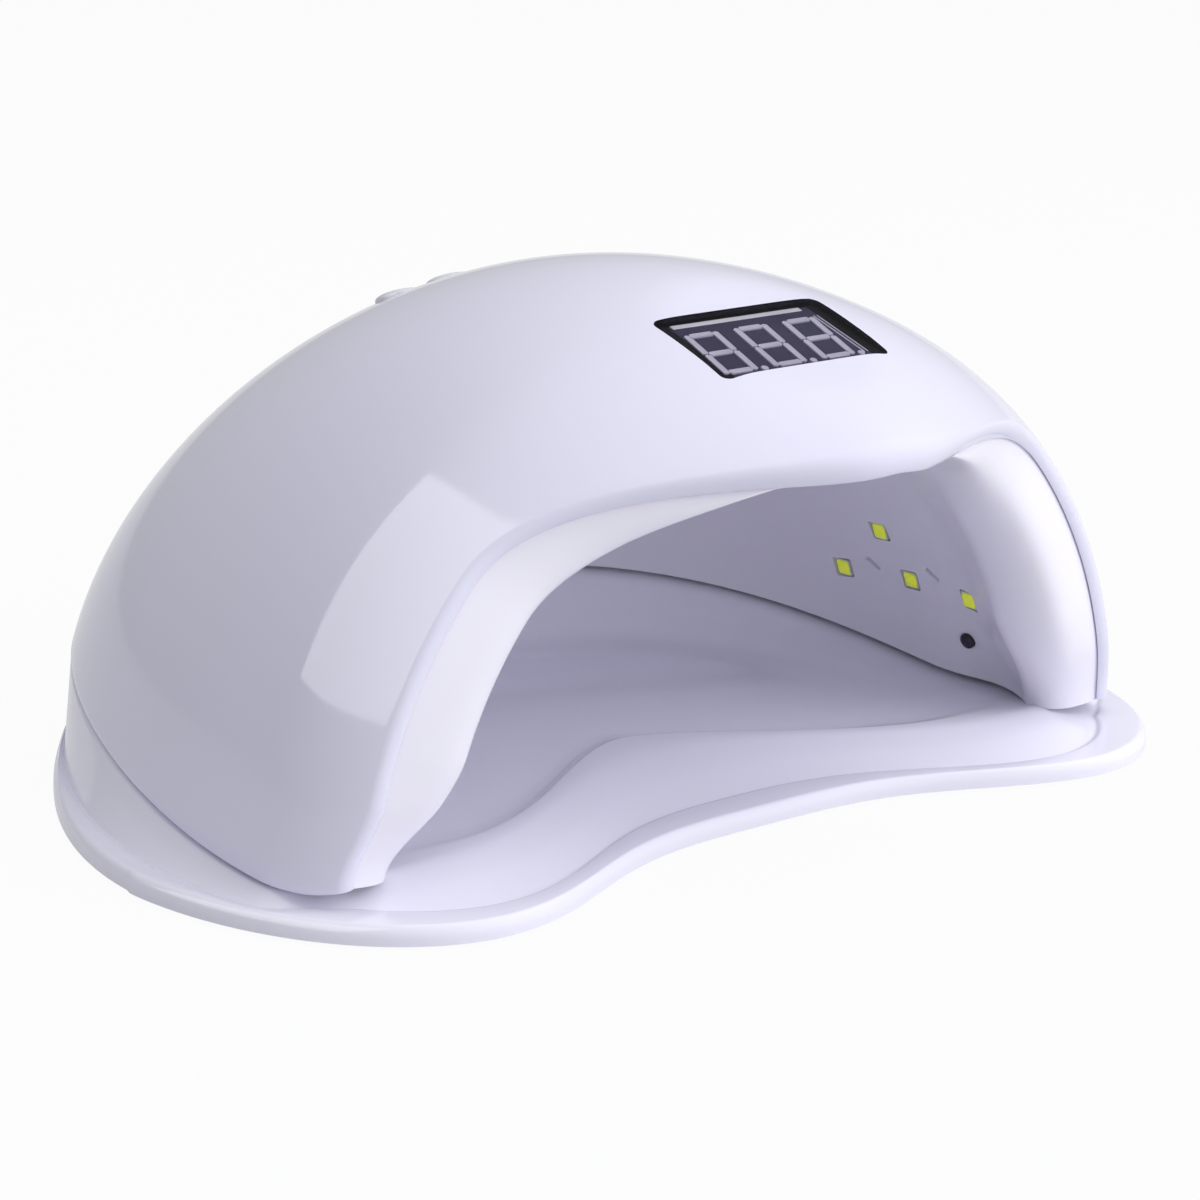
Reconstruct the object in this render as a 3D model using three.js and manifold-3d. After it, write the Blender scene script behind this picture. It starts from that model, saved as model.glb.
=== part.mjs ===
// Arch-shaped nail curing lamp on a lift-off base tray.
// Millimetres, +Z up, the hand opening faces -Y, the floor is Z = 0.
import * as THREE from 'three';
import { ConvexGeometry } from 'three/addons/geometries/ConvexGeometry.js';
import { mergeVertices } from 'three/addons/utils/BufferGeometryUtils.js';
import Module from 'manifold-3d';

const wasm = await Module();
wasm.setup();

// Clearances shared by every fit
const fitGap = 0.35;
const cutOverrun = 4;

// Whole lamp
const baseWidth = 208;
const lampDepth = 160.4;
const floorGap = 0.5;

// Dome of the outer shell
const shellWall = 2.4;
const crownHeight = 90.7;
const crownY = -17;
const domeHalfWidth = 92.1;
const domeWideY = -35.4;
const domeRearY = 85.8;
const domeRootZ = 4.4;
const domePlanPower = 2.45;
const domeSpinePower = 2.02;
const domeArchPower = 1.95;
const footY = -51.8;
const footHalfWidth = 85.5;
const visorDrop = 18.5;
const lipRadius = 4;
const lipOverhang = 1.9;
const visorStartAngle = 35.6;
const visorCrownPower = 3.1;
const visorFootPower = 2.9;

// Lower edge of the housing
const footZ = 5.3;
const edgeStartY = -41;
const edgeRun = 118;
const edgeRise = 17;
const innerEdgeRise = 16;

// Inner liner
const linerWall = 2;
const tunnelHalfWidth = 76;
const tunnelWideY = -23;
const tunnelRearY = 59.5;
const tunnelPlanPower = 2.25;
const roofDepth = 22.5;
const tunnelCeiling = crownHeight - roofDepth;
const tunnelLipDrop = 5.3;
const tunnelRootZ = -0.8;
const tunnelArchPower = 2.05;
const flareDepth = 9;
const flarePower = 3;
const rimWall = 2;

// Base tray
const trayWall = 2.2;
const deckZ = 5;
const flangeEdge = 1.8;
const flangeWidth = 8.5;
const creaseZ = 3;
const slopeRun = 18;
const seatRun = 32;
const heelProud = 1.8;
const lobeHalfWidth = 36.4;
const lobeDepth = 51.9;
const bayY = -52.4;
const wideY = -15.8;
const rearMargin = 2.5;
const marginRun = 71;
const trayCentreY = 5;
const bayPower = 1.89;
const trayCoveShares = [0.95, 0.86, 0.72, 0.4];
const coveDropShares = [0.55, 0.16, 0, 0];

// Rubber feet
const footRadius = 6;
const footFrontX = 62;
const footFrontY = -42;
const footRearX = 40;
const footRearY = 22;

// Magnets that hold the housing on the base
const magnetRadius = 4;
const magnetHeight = 2;
const magnetFrontAngle = -24;
const magnetRearAngle = 60;

// Screws of the housing
const screwRadius = 1.5;
const screwLength = 12;
const screwHeadRadius = 2.75;
const screwHeadHeight = 1.8;
const bossRadius = 4.2;
const bossHeight = 7;
const screwFrontAngle = 15;
const screwRearAngle = 42;

// Display window and module
const windowWidth = 36.6;
const windowLength = 19.4;
const windowCorner = 1.6;
const windowFrontY = -59.4;
const moduleWidth = 33;
const moduleLength = 17.4;
const moduleHeight = 6;
const boardWall = 1.6;
const displayBoardWidth = 40;
const displayBoardLength = 22;
const digitHeight = 12;
const digitWidth = 6.4;
const digitPitch = 10.6;
const segmentWidth = 1.3;
const segmentHeight = 0.3;
const pointRadius = 0.7;
const digitSlant = 8;

// Time buttons
const buttonCount = 4;
const buttonRadius = 4.2;
const buttonPitch = 11.6;
const buttonRowY = 28;
const buttonProud = 1.5;
const buttonCollar = 1;
const buttonCollarHeight = 1.2;
const buttonStemRadius = 1.6;
const buttonTravel = 0.6;
const buttonCrown = 0.6;

// Control board under the buttons
const controlBoardWidth = 60;
const controlBoardLength = 22;
const controlBoardDepth = 13.5;
const switchSide = 6;
const switchHeight = 3.4;
const plungerRadius = 1.7;
const plungerHeight = 0.8;
const boardBossX = 26.5;
const boardBossRadius = 3;

// LED boards behind the liner
const ledSide = 3.4;
const sideBoardLength = 38;
const sideBoardWidth = 24;
const sideBoardY = -13.3;
const sideBoardRiseShare = 0.381;
const sideBoardGap = 2.5;
const topBoardLength = 40;
const topBoardWidth = 40;
const topBoardY = -13;
const topBoardGap = 3;
const sideBoardTilt = 20.5;
const sensorRadius = 2.4;
const sensorBore = 2.6;
const sideLedShares = [[0.088, -0.313], [0.401, 0.112], [-0.014, 0.119], [-0.401, 0.154]];
const topLedShares = [[-0.36, -0.3], [-0.36, 0.3], [0, -0.34], [0, 0.34], [0.36, -0.3], [0.36, 0.3]];
const sensorY = -25.2;
const sensorRiseShare = 0.195;
const sensorDepth = 1.5;

// Power inlet
const jackWidth = 9;
const jackLength = 10.5;
const jackHeight = 10;
const jackCollarRadius = 4.6;
const jackBore = 2.9;
const jackPinRadius = 1;
const powerBoardWidth = 30;
const powerBoardLength = 14;
const powerBoardRise = 5;
const powerPostRadius = 2.5;
const powerPostX = 11;

// Fineness of the faceted surfaces
const archSteps = 32;
const domeSteps = 16;
const lipSteps = 3;
const flareSteps = 5;
const tunnelSteps = 10;
const edgeSteps = 72;
const trayStations = 72;
const roundSides = 20;
const smallSides = 12;
const mergeDistance = 0.0001;
const thinnestRise = 0.000001;
const slopeStep = 1;
const searchShare = 0.000001;

const smooth = (share) => {
  const t = Math.min(Math.max(share, 0), 1);
  return t * t * (3 - 2 * t);
};
const radians = THREE.MathUtils.degToRad;

// Dome outline, spine and edges

const lipY = -lampDepth / 2 + lipOverhang;

function domeHalf(y) {
  if (y <= domeWideY) {
    const share = (y - domeWideY) / (footY - domeWideY);
    return domeHalfWidth - (domeHalfWidth - footHalfWidth) * share * share;
  }
  const share = Math.min((y - domeWideY) / (domeRearY - domeWideY), 1);
  return domeHalfWidth * (1 - share ** domePlanPower) ** (1 / domePlanPower);
}

function spineZ(y) {
  if (y <= crownY) {
    const share = (y - crownY) / (lipY - crownY);
    return crownHeight - visorDrop * share * share;
  }
  const share = Math.min((y - crownY) / (domeRearY - crownY), 1);
  return crownHeight * (1 - share ** domeSpinePower) ** (1 / domeSpinePower);
}

const edgeShare = (y) => smooth((y - edgeStartY) / edgeRun);
const edgeZ = (y) => footZ + edgeRise * edgeShare(y);
const innerEdgeZ = (y) => footZ + innerEdgeRise * edgeShare(y);

function tunnelHalf(y) {
  const share = Math.min(Math.max((y - tunnelWideY) / (tunnelRearY - tunnelWideY), 0), 1);
  return tunnelHalfWidth * (1 - share ** tunnelPlanPower) ** (1 / tunnelPlanPower);
}

function ceilingZ(y) {
  if (y <= tunnelWideY) {
    const share = (y - tunnelWideY) / (lipY - tunnelWideY);
    return tunnelCeiling - tunnelLipDrop * share * share;
  }
  const share = Math.min((y - tunnelWideY) / (tunnelRearY - tunnelWideY), 1);
  return tunnelCeiling * (1 - share ** tunnelPlanPower) ** (1 / tunnelPlanPower);
}

// The place where a falling curve meets the rising edge
function meeting(curve, edge, near, far) {
  let low = near;
  let high = far;
  while (high - low > searchShare * (far - near)) {
    const middle = (low + high) / 2;
    if (curve(middle) > edge(middle)) {
      low = middle;
    } else {
      high = middle;
    }
  }
  return low;
}

const shellRearY = meeting(spineZ, edgeZ, crownY, domeRearY);
const linerRearY = meeting(ceilingZ, innerEdgeZ, tunnelWideY, tunnelRearY);

// One arch across the lamp at a given depth; u runs from the left edge to the right edge
function archPoint(u, y, half, top, root, edge, power) {
  const rise = Math.max(top - root, thinnestRise);
  const low = Math.min(Math.max((edge - root) / rise, 0), 1);
  const start = Math.asin(low ** (power / 2));
  const angle = start + (Math.PI - 2 * start) * u;
  const across = Math.cos(angle);
  const up = Math.sin(angle);
  const x = -half * Math.sign(across) * Math.abs(across) ** (2 / power);
  return new THREE.Vector3(x, y, root + rise * Math.max(up, 0) ** (2 / power));
}

const domePoint = (u, y) => archPoint(u, y, domeHalf(y), spineZ(y), domeRootZ, edgeZ(y), domeArchPower);
const tunnelPoint = (u, y) =>
  archPoint(u, y, tunnelHalf(y), ceilingZ(y), tunnelRootZ, innerEdgeZ(y), tunnelArchPower);

const archAngle = (u) => 180 * Math.min(u, 1 - u);
const crownAngle = archAngle(1 / 2);

// How far the front edge reaches forward: none at the feet, all of it at the crown
function visorShare(u) {
  const back = Math.min((crownAngle - archAngle(u)) / (crownAngle - visorStartAngle), 1);
  return (1 - back ** visorCrownPower) ** visorFootPower;
}

const frontY = (u) => footY + (lipY - footY) * visorShare(u);

// Triangles, solids and booleans

function solidMesh(positions, indices) {
  const geometry = new THREE.BufferGeometry();
  geometry.setAttribute('position', new THREE.Float32BufferAttribute(positions, 3));
  geometry.setIndex(indices);
  return tidyGeometry(geometry);
}

function tidyGeometry(source) {
  const plain = new THREE.BufferGeometry();
  plain.setAttribute('position', source.getAttribute('position').clone());
  if (source.index) {
    plain.setIndex(source.index.clone());
  }
  const merged = mergeVertices(plain, mergeDistance);
  const kept = [];
  const index = merged.index.array;
  for (let i = 0; i < index.length; i += 3) {
    const [a, b, c] = [index[i], index[i + 1], index[i + 2]];
    if (a !== b && b !== c && c !== a) {
      kept.push(a, b, c);
    }
  }
  if (volumeOf(merged.getAttribute('position'), kept) < 0) {
    kept.reverse();
  }
  merged.setIndex(kept);
  return merged;
}

function volumeOf(position, index) {
  const [a, b, c] = [new THREE.Vector3(), new THREE.Vector3(), new THREE.Vector3()];
  let sum = 0;
  for (let i = 0; i < index.length; i += 3) {
    a.fromBufferAttribute(position, index[i]);
    b.fromBufferAttribute(position, index[i + 1]);
    c.fromBufferAttribute(position, index[i + 2]);
    sum += a.dot(b.cross(c));
  }
  return sum / 6;
}

function toManifold(geometry) {
  const tidy = tidyGeometry(geometry);
  const mesh = new wasm.Mesh({
    numProp: 3,
    vertProperties: new Float32Array(tidy.getAttribute('position').array),
    triVerts: new Uint32Array(tidy.index.array),
  });
  return new wasm.Manifold(mesh);
}

function toGeometry(solid) {
  const mesh = solid.getMesh();
  const geometry = new THREE.BufferGeometry();
  geometry.setAttribute('position', new THREE.Float32BufferAttribute(mesh.vertProperties, 3));
  geometry.setIndex(new THREE.Uint32BufferAttribute(mesh.triVerts, 1));
  return geometry;
}

const unite = (solids) => solids.reduce((sum, solid) => sum.add(solid));
const cut = (solid, cutters) => cutters.reduce((rest, cutter) => rest.subtract(cutter), solid);

// Normals of a grid of points, by differences between neighbours
function gridNormals(grid) {
  return grid.map((row, i) =>
    row.map((point, j) => {
      const along = new THREE.Vector3();
      along.subVectors(grid[Math.min(i + 1, grid.length - 1)][j], grid[Math.max(i - 1, 0)][j]);
      const across = new THREE.Vector3();
      across.subVectors(row[Math.min(j + 1, row.length - 1)], row[Math.max(j - 1, 0)]);
      return across.cross(along).normalize();
    })
  );
}

// A closed wall between two grids of the same size, joined all round their borders
function wallBetween(outer, inner) {
  const rows = outer.length;
  const columns = outer[0].length;
  const positions = [];
  for (const grid of [outer, inner]) {
    grid.flat().forEach((point) => positions.push(point.x, point.y, point.z));
  }
  const shift = rows * columns;
  const indices = [];
  const quad = (a, b, c, d) => indices.push(a, b, c, a, c, d);
  for (let i = 0; i + 1 < rows; i += 1) {
    for (let j = 0; j + 1 < columns; j += 1) {
      const a = i * columns + j;
      quad(a, a + 1, a + columns + 1, a + columns);
      quad(a + shift, a + shift + columns, a + shift + columns + 1, a + shift + 1);
    }
    const left = i * columns;
    const right = left + columns - 1;
    quad(left, left + columns, left + columns + shift, left + shift);
    quad(right, right + shift, right + columns + shift, right + columns);
  }
  const last = (rows - 1) * columns;
  for (let j = 0; j + 1 < columns; j += 1) {
    quad(j, j + shift, j + 1 + shift, j + 1);
    quad(last + j, last + j + 1, last + j + 1 + shift, last + j + shift);
  }
  return solidMesh(positions, indices);
}

// The pole row takes one shared normal, the mean of the row before it
function sharePoleNormal(normals) {
  const last = normals.length - 1;
  const mean = new THREE.Vector3();
  normals[last - 1].forEach((normal) => mean.add(normal));
  mean.normalize();
  normals[last] = normals[last].map(() => mean.clone());
  return normals;
}

const columns = [...Array(archSteps + 1).keys()].map((j) => j / archSteps);
const quarter = (i, steps) => Math.sin((Math.PI / 2) * (i / steps));

// Outer shell

const domeGrid = [];
for (let i = 0; i <= domeSteps; i += 1) {
  domeGrid.push(columns.map((u) => {
    const start = frontY(u);
    return domePoint(u, start + (shellRearY - start) * quarter(i, domeSteps));
  }));
}
const domeNormals = sharePoleNormal(gridNormals(domeGrid));
const normalSign = Math.sign(domeNormals[1][archSteps / 2].z);
domeNormals.flat().forEach((normal) => normal.multiplyScalar(normalSign));

const lipBulge = (u) => shellWall + (lipRadius - shellWall) * visorShare(u);
const domeForward = columns.map((u, j) => {
  const forward = new THREE.Vector3().subVectors(domeGrid[0][j], domeGrid[1][j]);
  forward.addScaledVector(domeNormals[0][j], -forward.dot(domeNormals[0][j]));
  return forward.normalize();
});

// A place near the front edge: forward of it and below the outer surface
function edgePoint(j, forward, depth) {
  const point = domeGrid[0][j].clone();
  point.addScaledVector(domeForward[j], forward);
  return point.addScaledVector(domeNormals[0][j], -depth);
}

const lipGrid = [];
for (let i = lipSteps; i > 0; i -= 1) {
  const angle = (Math.PI / 2) * (i / lipSteps);
  lipGrid.push(columns.map((u, j) =>
    edgePoint(j, lipBulge(u) * Math.sin(angle), lipBulge(u) * (1 - Math.cos(angle)))));
}

function offsetGrid(grid, normals, distance) {
  return grid.map((row, i) =>
    row.map((point, j) => point.clone().addScaledVector(normals[i][j], distance)));
}

const domeInside = offsetGrid(domeGrid, domeNormals, -shellWall);
const shellOutside = [...lipGrid, ...domeGrid];
const shellInside = [...lipGrid.map(() => domeInside[0]), ...domeInside];
const shellBlank = toManifold(wallBetween(shellOutside, shellInside));

// The space inside the middle of the shell's wall, which trims bosses and posts
const shellCore = toManifold(new ConvexGeometry(offsetGrid(domeGrid, domeNormals, -shellWall / 2).flat()));

// Inner liner, from the seam at the shell's front edge to its rear

const seamRow = columns.map((u, j) => edgePoint(j, lipBulge(u) / 2, lipBulge(u) + fitGap));
const linerGrid = [];
for (let i = 0; i < flareSteps; i += 1) {
  const angle = (Math.PI / 2) * (i / flareSteps);
  const inward = Math.sin(angle) ** (2 / flarePower);
  const back = 1 - Math.cos(angle) ** (2 / flarePower);
  linerGrid.push(columns.map((u, j) => {
    const seam = seamRow[j];
    const goal = tunnelPoint(u, seam.y + flareDepth);
    const point = seam.clone().lerp(goal, inward);
    point.y = seam.y + flareDepth * back;
    return point;
  }));
}
for (let i = 0; i <= tunnelSteps; i += 1) {
  linerGrid.push(columns.map((u, j) => {
    const start = seamRow[j].y + flareDepth;
    return tunnelPoint(u, start + (linerRearY - start) * quarter(i, tunnelSteps));
  }));
}
const linerNormals = sharePoleNormal(gridNormals(linerGrid));
linerNormals.flat().forEach((normal) => normal.multiplyScalar(normalSign));
const linerOutside = offsetGrid(linerGrid, linerNormals, linerWall);
const linerDome = toManifold(wallBetween(linerOutside, linerGrid));

// Lower edges in plan, from the left foot round the rear to the right foot

function sweepY(share, start, end) {
  return start + (end - start) * Math.sin(Math.PI * share);
}

function lowerEdge(share, start, end, point) {
  const y = sweepY(share, start, end);
  const u = share < 1 / 2 ? 0 : 1;
  const place = point(u, y);
  return share === 1 / 2 ? place.setX(0) : place;
}

const shellEdge = (share) => lowerEdge(share, footY, shellRearY, domePoint);
const linerEdge = (share) => lowerEdge(share, footY, linerRearY, tunnelPoint);

// Moves a place on an edge sideways in plan, square to the edge
function besideEdge(edge, share, distance) {
  const step = 1 / (4 * edgeSteps);
  const before = edge(Math.max(share - step, 0));
  const after = edge(Math.min(share + step, 1));
  const along = after.sub(before).setZ(0).normalize();
  const out = new THREE.Vector3(-along.y, along.x, 0);
  return edge(share).addScaledVector(out, distance);
}

// How far a line of points lies from the tray's middle in one direction; zero where it isn't met
function rayReach(points, angle, closed) {
  const [dx, dy] = [Math.cos(angle), Math.sin(angle)];
  const count = closed ? points.length : points.length - 1;
  let reach = 0;
  for (let i = 0; i < count; i += 1) {
    const a = points[i];
    const b = points[(i + 1) % points.length];
    const [ax, ay, bx, by] = [a.x, a.y - trayCentreY, b.x, b.y - trayCentreY];
    const crossA = dx * ay - dy * ax;
    const crossB = dx * by - dy * bx;
    if (crossA * crossB > 0 || crossA === crossB) {
      continue;
    }
    const share = crossA / (crossA - crossB);
    reach = Math.max(reach, (ax + (bx - ax) * share) * dx + (ay + (by - ay) * share) * dy);
  }
  return reach;
}

const edgeShares = [...Array(edgeSteps + 1).keys()].map((i) => i / edgeSteps);
const shellEdgePoints = edgeShares.map(shellEdge);
const linerEdgePoints = edgeShares.map(linerEdge);

// The seat between the housing and the tray, along one ray: its outer and inner ends
function seatLine(angle) {
  const place = (reach, height) => {
    const y = trayCentreY + reach * Math.sin(angle);
    return new THREE.Vector3(reach * Math.cos(angle), y, height(y));
  };
  const outReach = rayReach(shellEdgePoints, angle, false);
  const inReach = rayReach(linerEdgePoints, angle, false);
  if (!(outReach > 0 && inReach > 0)) {
    return null;
  }
  const width = outReach - inReach;
  return { out: place(outReach, edgeZ), in: place(inReach, innerEdgeZ), width };
}

const trayAngle = (i) => (2 * Math.PI * (i + 1 / 2)) / trayStations - Math.PI / 2;
const seatLines = [...Array(trayStations).keys()].map((i) => seatLine(trayAngle(i))).filter((line) => line);

// A layer that follows the seat, between two heights above it
function seatLayer(low, high, innerTrim) {
  const outerTrim = shellWall + 2 * fitGap;
  const bottom = [];
  const top = [];
  for (const line of seatLines) {
    const at = (distance, rise) => {
      const point = line.out.clone().lerp(line.in, distance / line.width);
      return point.setZ(point.z + rise);
    };
    const inner = line.width - innerTrim;
    bottom.push([at(outerTrim, low), at(inner, low)]);
    top.push([at(outerTrim + rimWall / 2, high), at(inner, high)]);
  }
  return toManifold(wallBetween(top, bottom));
}

// A place on the middle of the seat, with the direction square to it
function seatPlace(angle) {
  const line = seatLine(angle);
  const ahead = seatLine(angle + Math.PI / trayStations);
  const point = line.out.clone().lerp(line.in, 1 / 2);
  const along = ahead.out.lerp(ahead.in, 1 / 2).sub(point);
  const normal = new THREE.Vector3().crossVectors(line.in.clone().sub(line.out), along).normalize();
  return { point, normal: normal.multiplyScalar(Math.sign(normal.z)) };
}

// Small shapes

function turned(radius, height, sides = smallSides, topRadius = radius) {
  const geometry = new THREE.CylinderGeometry(topRadius, radius, height, sides);
  geometry.rotateX(Math.PI / 2);
  geometry.translate(0, 0, height / 2);
  return geometry;
}

function block(width, length, height) {
  const geometry = new THREE.BoxGeometry(width, length, height);
  geometry.translate(0, 0, height / 2);
  return geometry;
}

function lathe(profile, sides = roundSides) {
  const geometry = new THREE.LatheGeometry(profile.map(([r, z]) => new THREE.Vector2(r, z)), sides);
  geometry.rotateX(Math.PI / 2);
  return geometry;
}

// Puts a shape made along +Z at a place, looking along a direction
function placed(geometry, point, direction = new THREE.Vector3(0, 0, 1), spin = 0) {
  const turn = new THREE.Quaternion().setFromUnitVectors(new THREE.Vector3(0, 0, 1), direction);
  const copy = geometry.clone();
  copy.rotateZ(spin);
  copy.applyQuaternion(turn);
  copy.translate(point.x, point.y, point.z);
  return copy;
}

// A flat frame across the lamp: x to the right, y up its slope, z square to it
function slopeFrame(point, tilt) {
  const matrix = new THREE.Matrix4().makeRotationX(tilt).setPosition(point);
  const put = (geometry, x, y, z) => geometry.clone().translate(x, y, z).applyMatrix4(matrix);
  return { put };
}

function roundedRectangle(width, length, corner, height) {
  const shape = new THREE.Shape();
  const [x, y] = [width / 2 - corner, length / 2 - corner];
  shape.absarc(x, y, corner, 0, Math.PI / 2);
  shape.absarc(-x, y, corner, Math.PI / 2, Math.PI);
  shape.absarc(-x, -y, corner, Math.PI, 1.5 * Math.PI);
  shape.absarc(x, -y, corner, 1.5 * Math.PI, 2 * Math.PI);
  return new THREE.ExtrudeGeometry(shape, { depth: height, bevelEnabled: false, curveSegments: 4 });
}

const joined = (geometries) => toGeometry(unite(geometries.map(toManifold)));

// Finishes

const finish = (color, roughness, metalness = 0) =>
  new THREE.MeshStandardMaterial({ color, roughness, metalness });
const glossWhite = finish(0xe6e3f5, 0.12);
const linerWhite = finish(0xdedcee, 0.3);
const baseWhite = finish(0xe2e0f2, 0.2);
const buttonWhite = finish(0xe9e7f4, 0.25);
const smokedClear = finish(0x0c0c10, 0.08);
const moduleGrey = finish(0x3c3d48, 0.55);
const boardGreen = finish(0x1d5a3a, 0.5);
const ledYellow = finish(0xd8e62a, 0.35);
const sensorBlack = finish(0x17141c, 0.2);
const switchBlack = finish(0x1b1b1d, 0.6);
const steel = finish(0xb9bcc2, 0.35, 1);
const magnetSteel = finish(0xc6c8cc, 0.25, 1);
const rubberGrey = finish(0x4a4a4e, 0.9);

const group = new THREE.Group();

function add(name, geometry, material) {
  const mesh = new THREE.Mesh(geometry, material);
  mesh.name = name;
  group.add(mesh);
}

// Display: a window cut from the shell, the digit module and its board

const windowRearY = windowFrontY + windowLength;
const windowFront = domePoint(1 / 2, windowFrontY);
const windowRear = domePoint(1 / 2, windowRearY);
const windowTilt = Math.atan2(windowRear.z - windowFront.z, windowLength);
const windowFrame = slopeFrame(windowFront.clone().lerp(windowRear, 1 / 2), windowTilt);
const prism = (grow) => windowFrame.put(
  roundedRectangle(windowWidth + 2 * grow, windowLength + 2 * grow, windowCorner + grow, 2 * cutOverrun),
  0, 0, -cutOverrun);

const windowSag = domePoint(1 / 2, windowFrontY).z
  - meetingHeight(windowWidth / 2, windowFrontY);

// Height of the dome over a place in plan
function meetingHeight(x, y) {
  const rise = spineZ(y) - domeRootZ;
  const share = Math.min(Math.abs(x) / domeHalf(y), 1);
  return domeRootZ + rise * (1 - share ** domeArchPower) ** (1 / domeArchPower);
}

const moduleTop = -(shellWall + windowSag + segmentHeight + fitGap);
const moduleFloor = moduleTop - moduleHeight;
const boardTop = moduleFloor - fitGap;
add('display_window', toGeometry(shellBlank.intersect(toManifold(prism(0)))), smokedClear);
const displayBoardFloor = boardTop - boardWall;
add('display_board', windowFrame.put(block(displayBoardWidth, displayBoardLength, boardWall), 0, 0,
  displayBoardFloor), boardGreen);

// One lit stroke of a digit, with pointed ends
function stroke(length) {
  const [half, tip] = [segmentWidth / 2, length / 2];
  const shape = new THREE.Shape();
  shape.moveTo(-tip, 0);
  shape.lineTo(half - tip, -half);
  shape.lineTo(tip - half, -half);
  shape.lineTo(tip, 0);
  shape.lineTo(tip - half, half);
  shape.lineTo(half - tip, half);
  shape.closePath();
  return new THREE.ExtrudeGeometry(shape, { depth: segmentHeight, bevelEnabled: false });
}

function digitPieces(x) {
  const slant = Math.tan(radians(digitSlant));
  const reach = digitWidth - segmentWidth;
  const rise = (digitHeight - segmentWidth) / 2;
  const lean = new THREE.Matrix4().makeShear(0, 0, slant, 0, 0, 0);
  const pieces = [];
  for (const level of [-1, 0, 1]) {
    pieces.push(stroke(reach - segmentHeight).translate(0, level * rise, 0));
  }
  for (const side of [-1, 1]) {
    for (const level of [-1, 1]) {
      const upright = stroke(rise - segmentHeight).rotateZ(Math.PI / 2);
      pieces.push(upright.translate((side * reach) / 2, (level * rise) / 2, 0));
    }
  }
  pieces.push(turned(pointRadius, segmentHeight).translate(digitPitch / 2, -rise, 0));
  const low = moduleTop - segmentHeight / 2;
  return pieces.map((piece) => windowFrame.put(piece.applyMatrix4(lean), x, 0, low));
}

const moduleCase = windowFrame.put(block(moduleWidth, moduleLength, moduleHeight), 0, 0, moduleFloor);
const digits = [-1, 0, 1].flatMap((place) => digitPieces(place * digitPitch));
add('display_module', joined([moduleCase, ...digits]), moduleGrey);

// Time buttons with their switches and board

const buttonSlope = (spineZ(buttonRowY + slopeStep) - spineZ(buttonRowY - slopeStep)) / (2 * slopeStep);
const buttonTilt = Math.atan(buttonSlope);
const buttonFrame = slopeFrame(new THREE.Vector3(0, buttonRowY, spineZ(buttonRowY)), buttonTilt);
const buttonXs = [...Array(buttonCount).keys()].map((i) => (i - (buttonCount - 1) / 2) * buttonPitch);
const buttonSag = (x) => spineZ(buttonRowY) - meetingHeight(x, buttonRowY);
const controlTop = -controlBoardDepth;
const switchLow = controlTop + fitGap / 3;
const switchTop = switchLow + switchHeight + plungerHeight;

function buttonCap(x) {
  const surface = -buttonSag(x);
  const fall = buttonSag(Math.abs(x) + buttonRadius + buttonCollar) - buttonSag(x);
  const shoulder = surface - shellWall - 2 * fitGap - fall;
  const top = surface + buttonProud;
  const foot = switchTop + buttonTravel + fitGap;
  return lathe([
    [0, foot],
    [buttonStemRadius, foot],
    [buttonStemRadius, shoulder - buttonCollarHeight],
    [buttonRadius + buttonCollar, shoulder - buttonCollarHeight],
    [buttonRadius + buttonCollar, shoulder],
    [buttonRadius, shoulder],
    [buttonRadius, top - buttonCrown],
    [buttonRadius - buttonCrown / 2, top - buttonCrown / 4],
    [buttonRadius / 2, top],
    [0, top],
  ]);
}

const buttonNames = ['button_10_seconds', 'button_30_seconds', 'button_60_seconds', 'button_99_seconds'];
buttonXs.forEach((x, i) => add(buttonNames[i], buttonFrame.put(buttonCap(x), x, 0, 0), buttonWhite));

const tactSwitch = joined([
  block(switchSide, switchSide, switchHeight),
  turned(plungerRadius, switchHeight + plungerHeight),
]);
buttonXs.forEach((x, i) =>
  add(`tact_switch_${i + 1}`, buttonFrame.put(tactSwitch, x, 0, switchLow), switchBlack));

const boardHole = (x) => buttonFrame.put(turned(screwRadius + fitGap, boardWall + 2 * cutOverrun), x, 0,
  controlTop - boardWall - cutOverrun);
const controlBoard = buttonFrame.put(block(controlBoardWidth, controlBoardLength, boardWall), 0, 0,
  controlTop - boardWall);
const boardBossXs = [-boardBossX, boardBossX];
const boardHoles = boardBossXs.map((x) => toManifold(boardHole(x)));
add('control_board', toGeometry(cut(toManifold(controlBoard), boardHoles)), boardGreen);

function screw(length) {
  return lathe([
    [0, -screwHeadHeight],
    [screwHeadRadius, -screwHeadHeight],
    [screwHeadRadius, 0],
    [screwRadius, 0],
    [screwRadius, length - screwRadius],
    [0, length],
  ], smallSides);
}

const boardScrewLength = screwLength / 2;
boardBossXs.forEach((x, i) => add(`board_screw_${i + 1}`,
  buttonFrame.put(screw(boardScrewLength), x, 0, controlTop - boardWall - fitGap), steel));

function bored(frame, radius, bore, x, low, boreDepth) {
  const post = toManifold(frame.put(turned(radius, crownHeight), x, 0, low)).intersect(shellCore);
  const hole = toManifold(frame.put(turned(bore, boreDepth + cutOverrun), x, 0, low - cutOverrun));
  return post.subtract(hole);
}

const boardBosses = boardBossXs.map((x) =>
  bored(buttonFrame, boardBossRadius, screwRadius + fitGap, x, controlTop + fitGap, boardScrewLength));

// Ribs of the shell that carry the display board at its two sides
const ribX = displayBoardWidth / 2 - fitGap;
const displayRibs = [-ribX, ribX].map((x) => {
  const rib = block(boardWall, displayBoardLength / 2, crownHeight);
  return toManifold(windowFrame.put(rib, x, 0, boardTop + fitGap)).intersect(shellCore);
});

// LED boards, their LEDs and the two hand sensors

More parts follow.
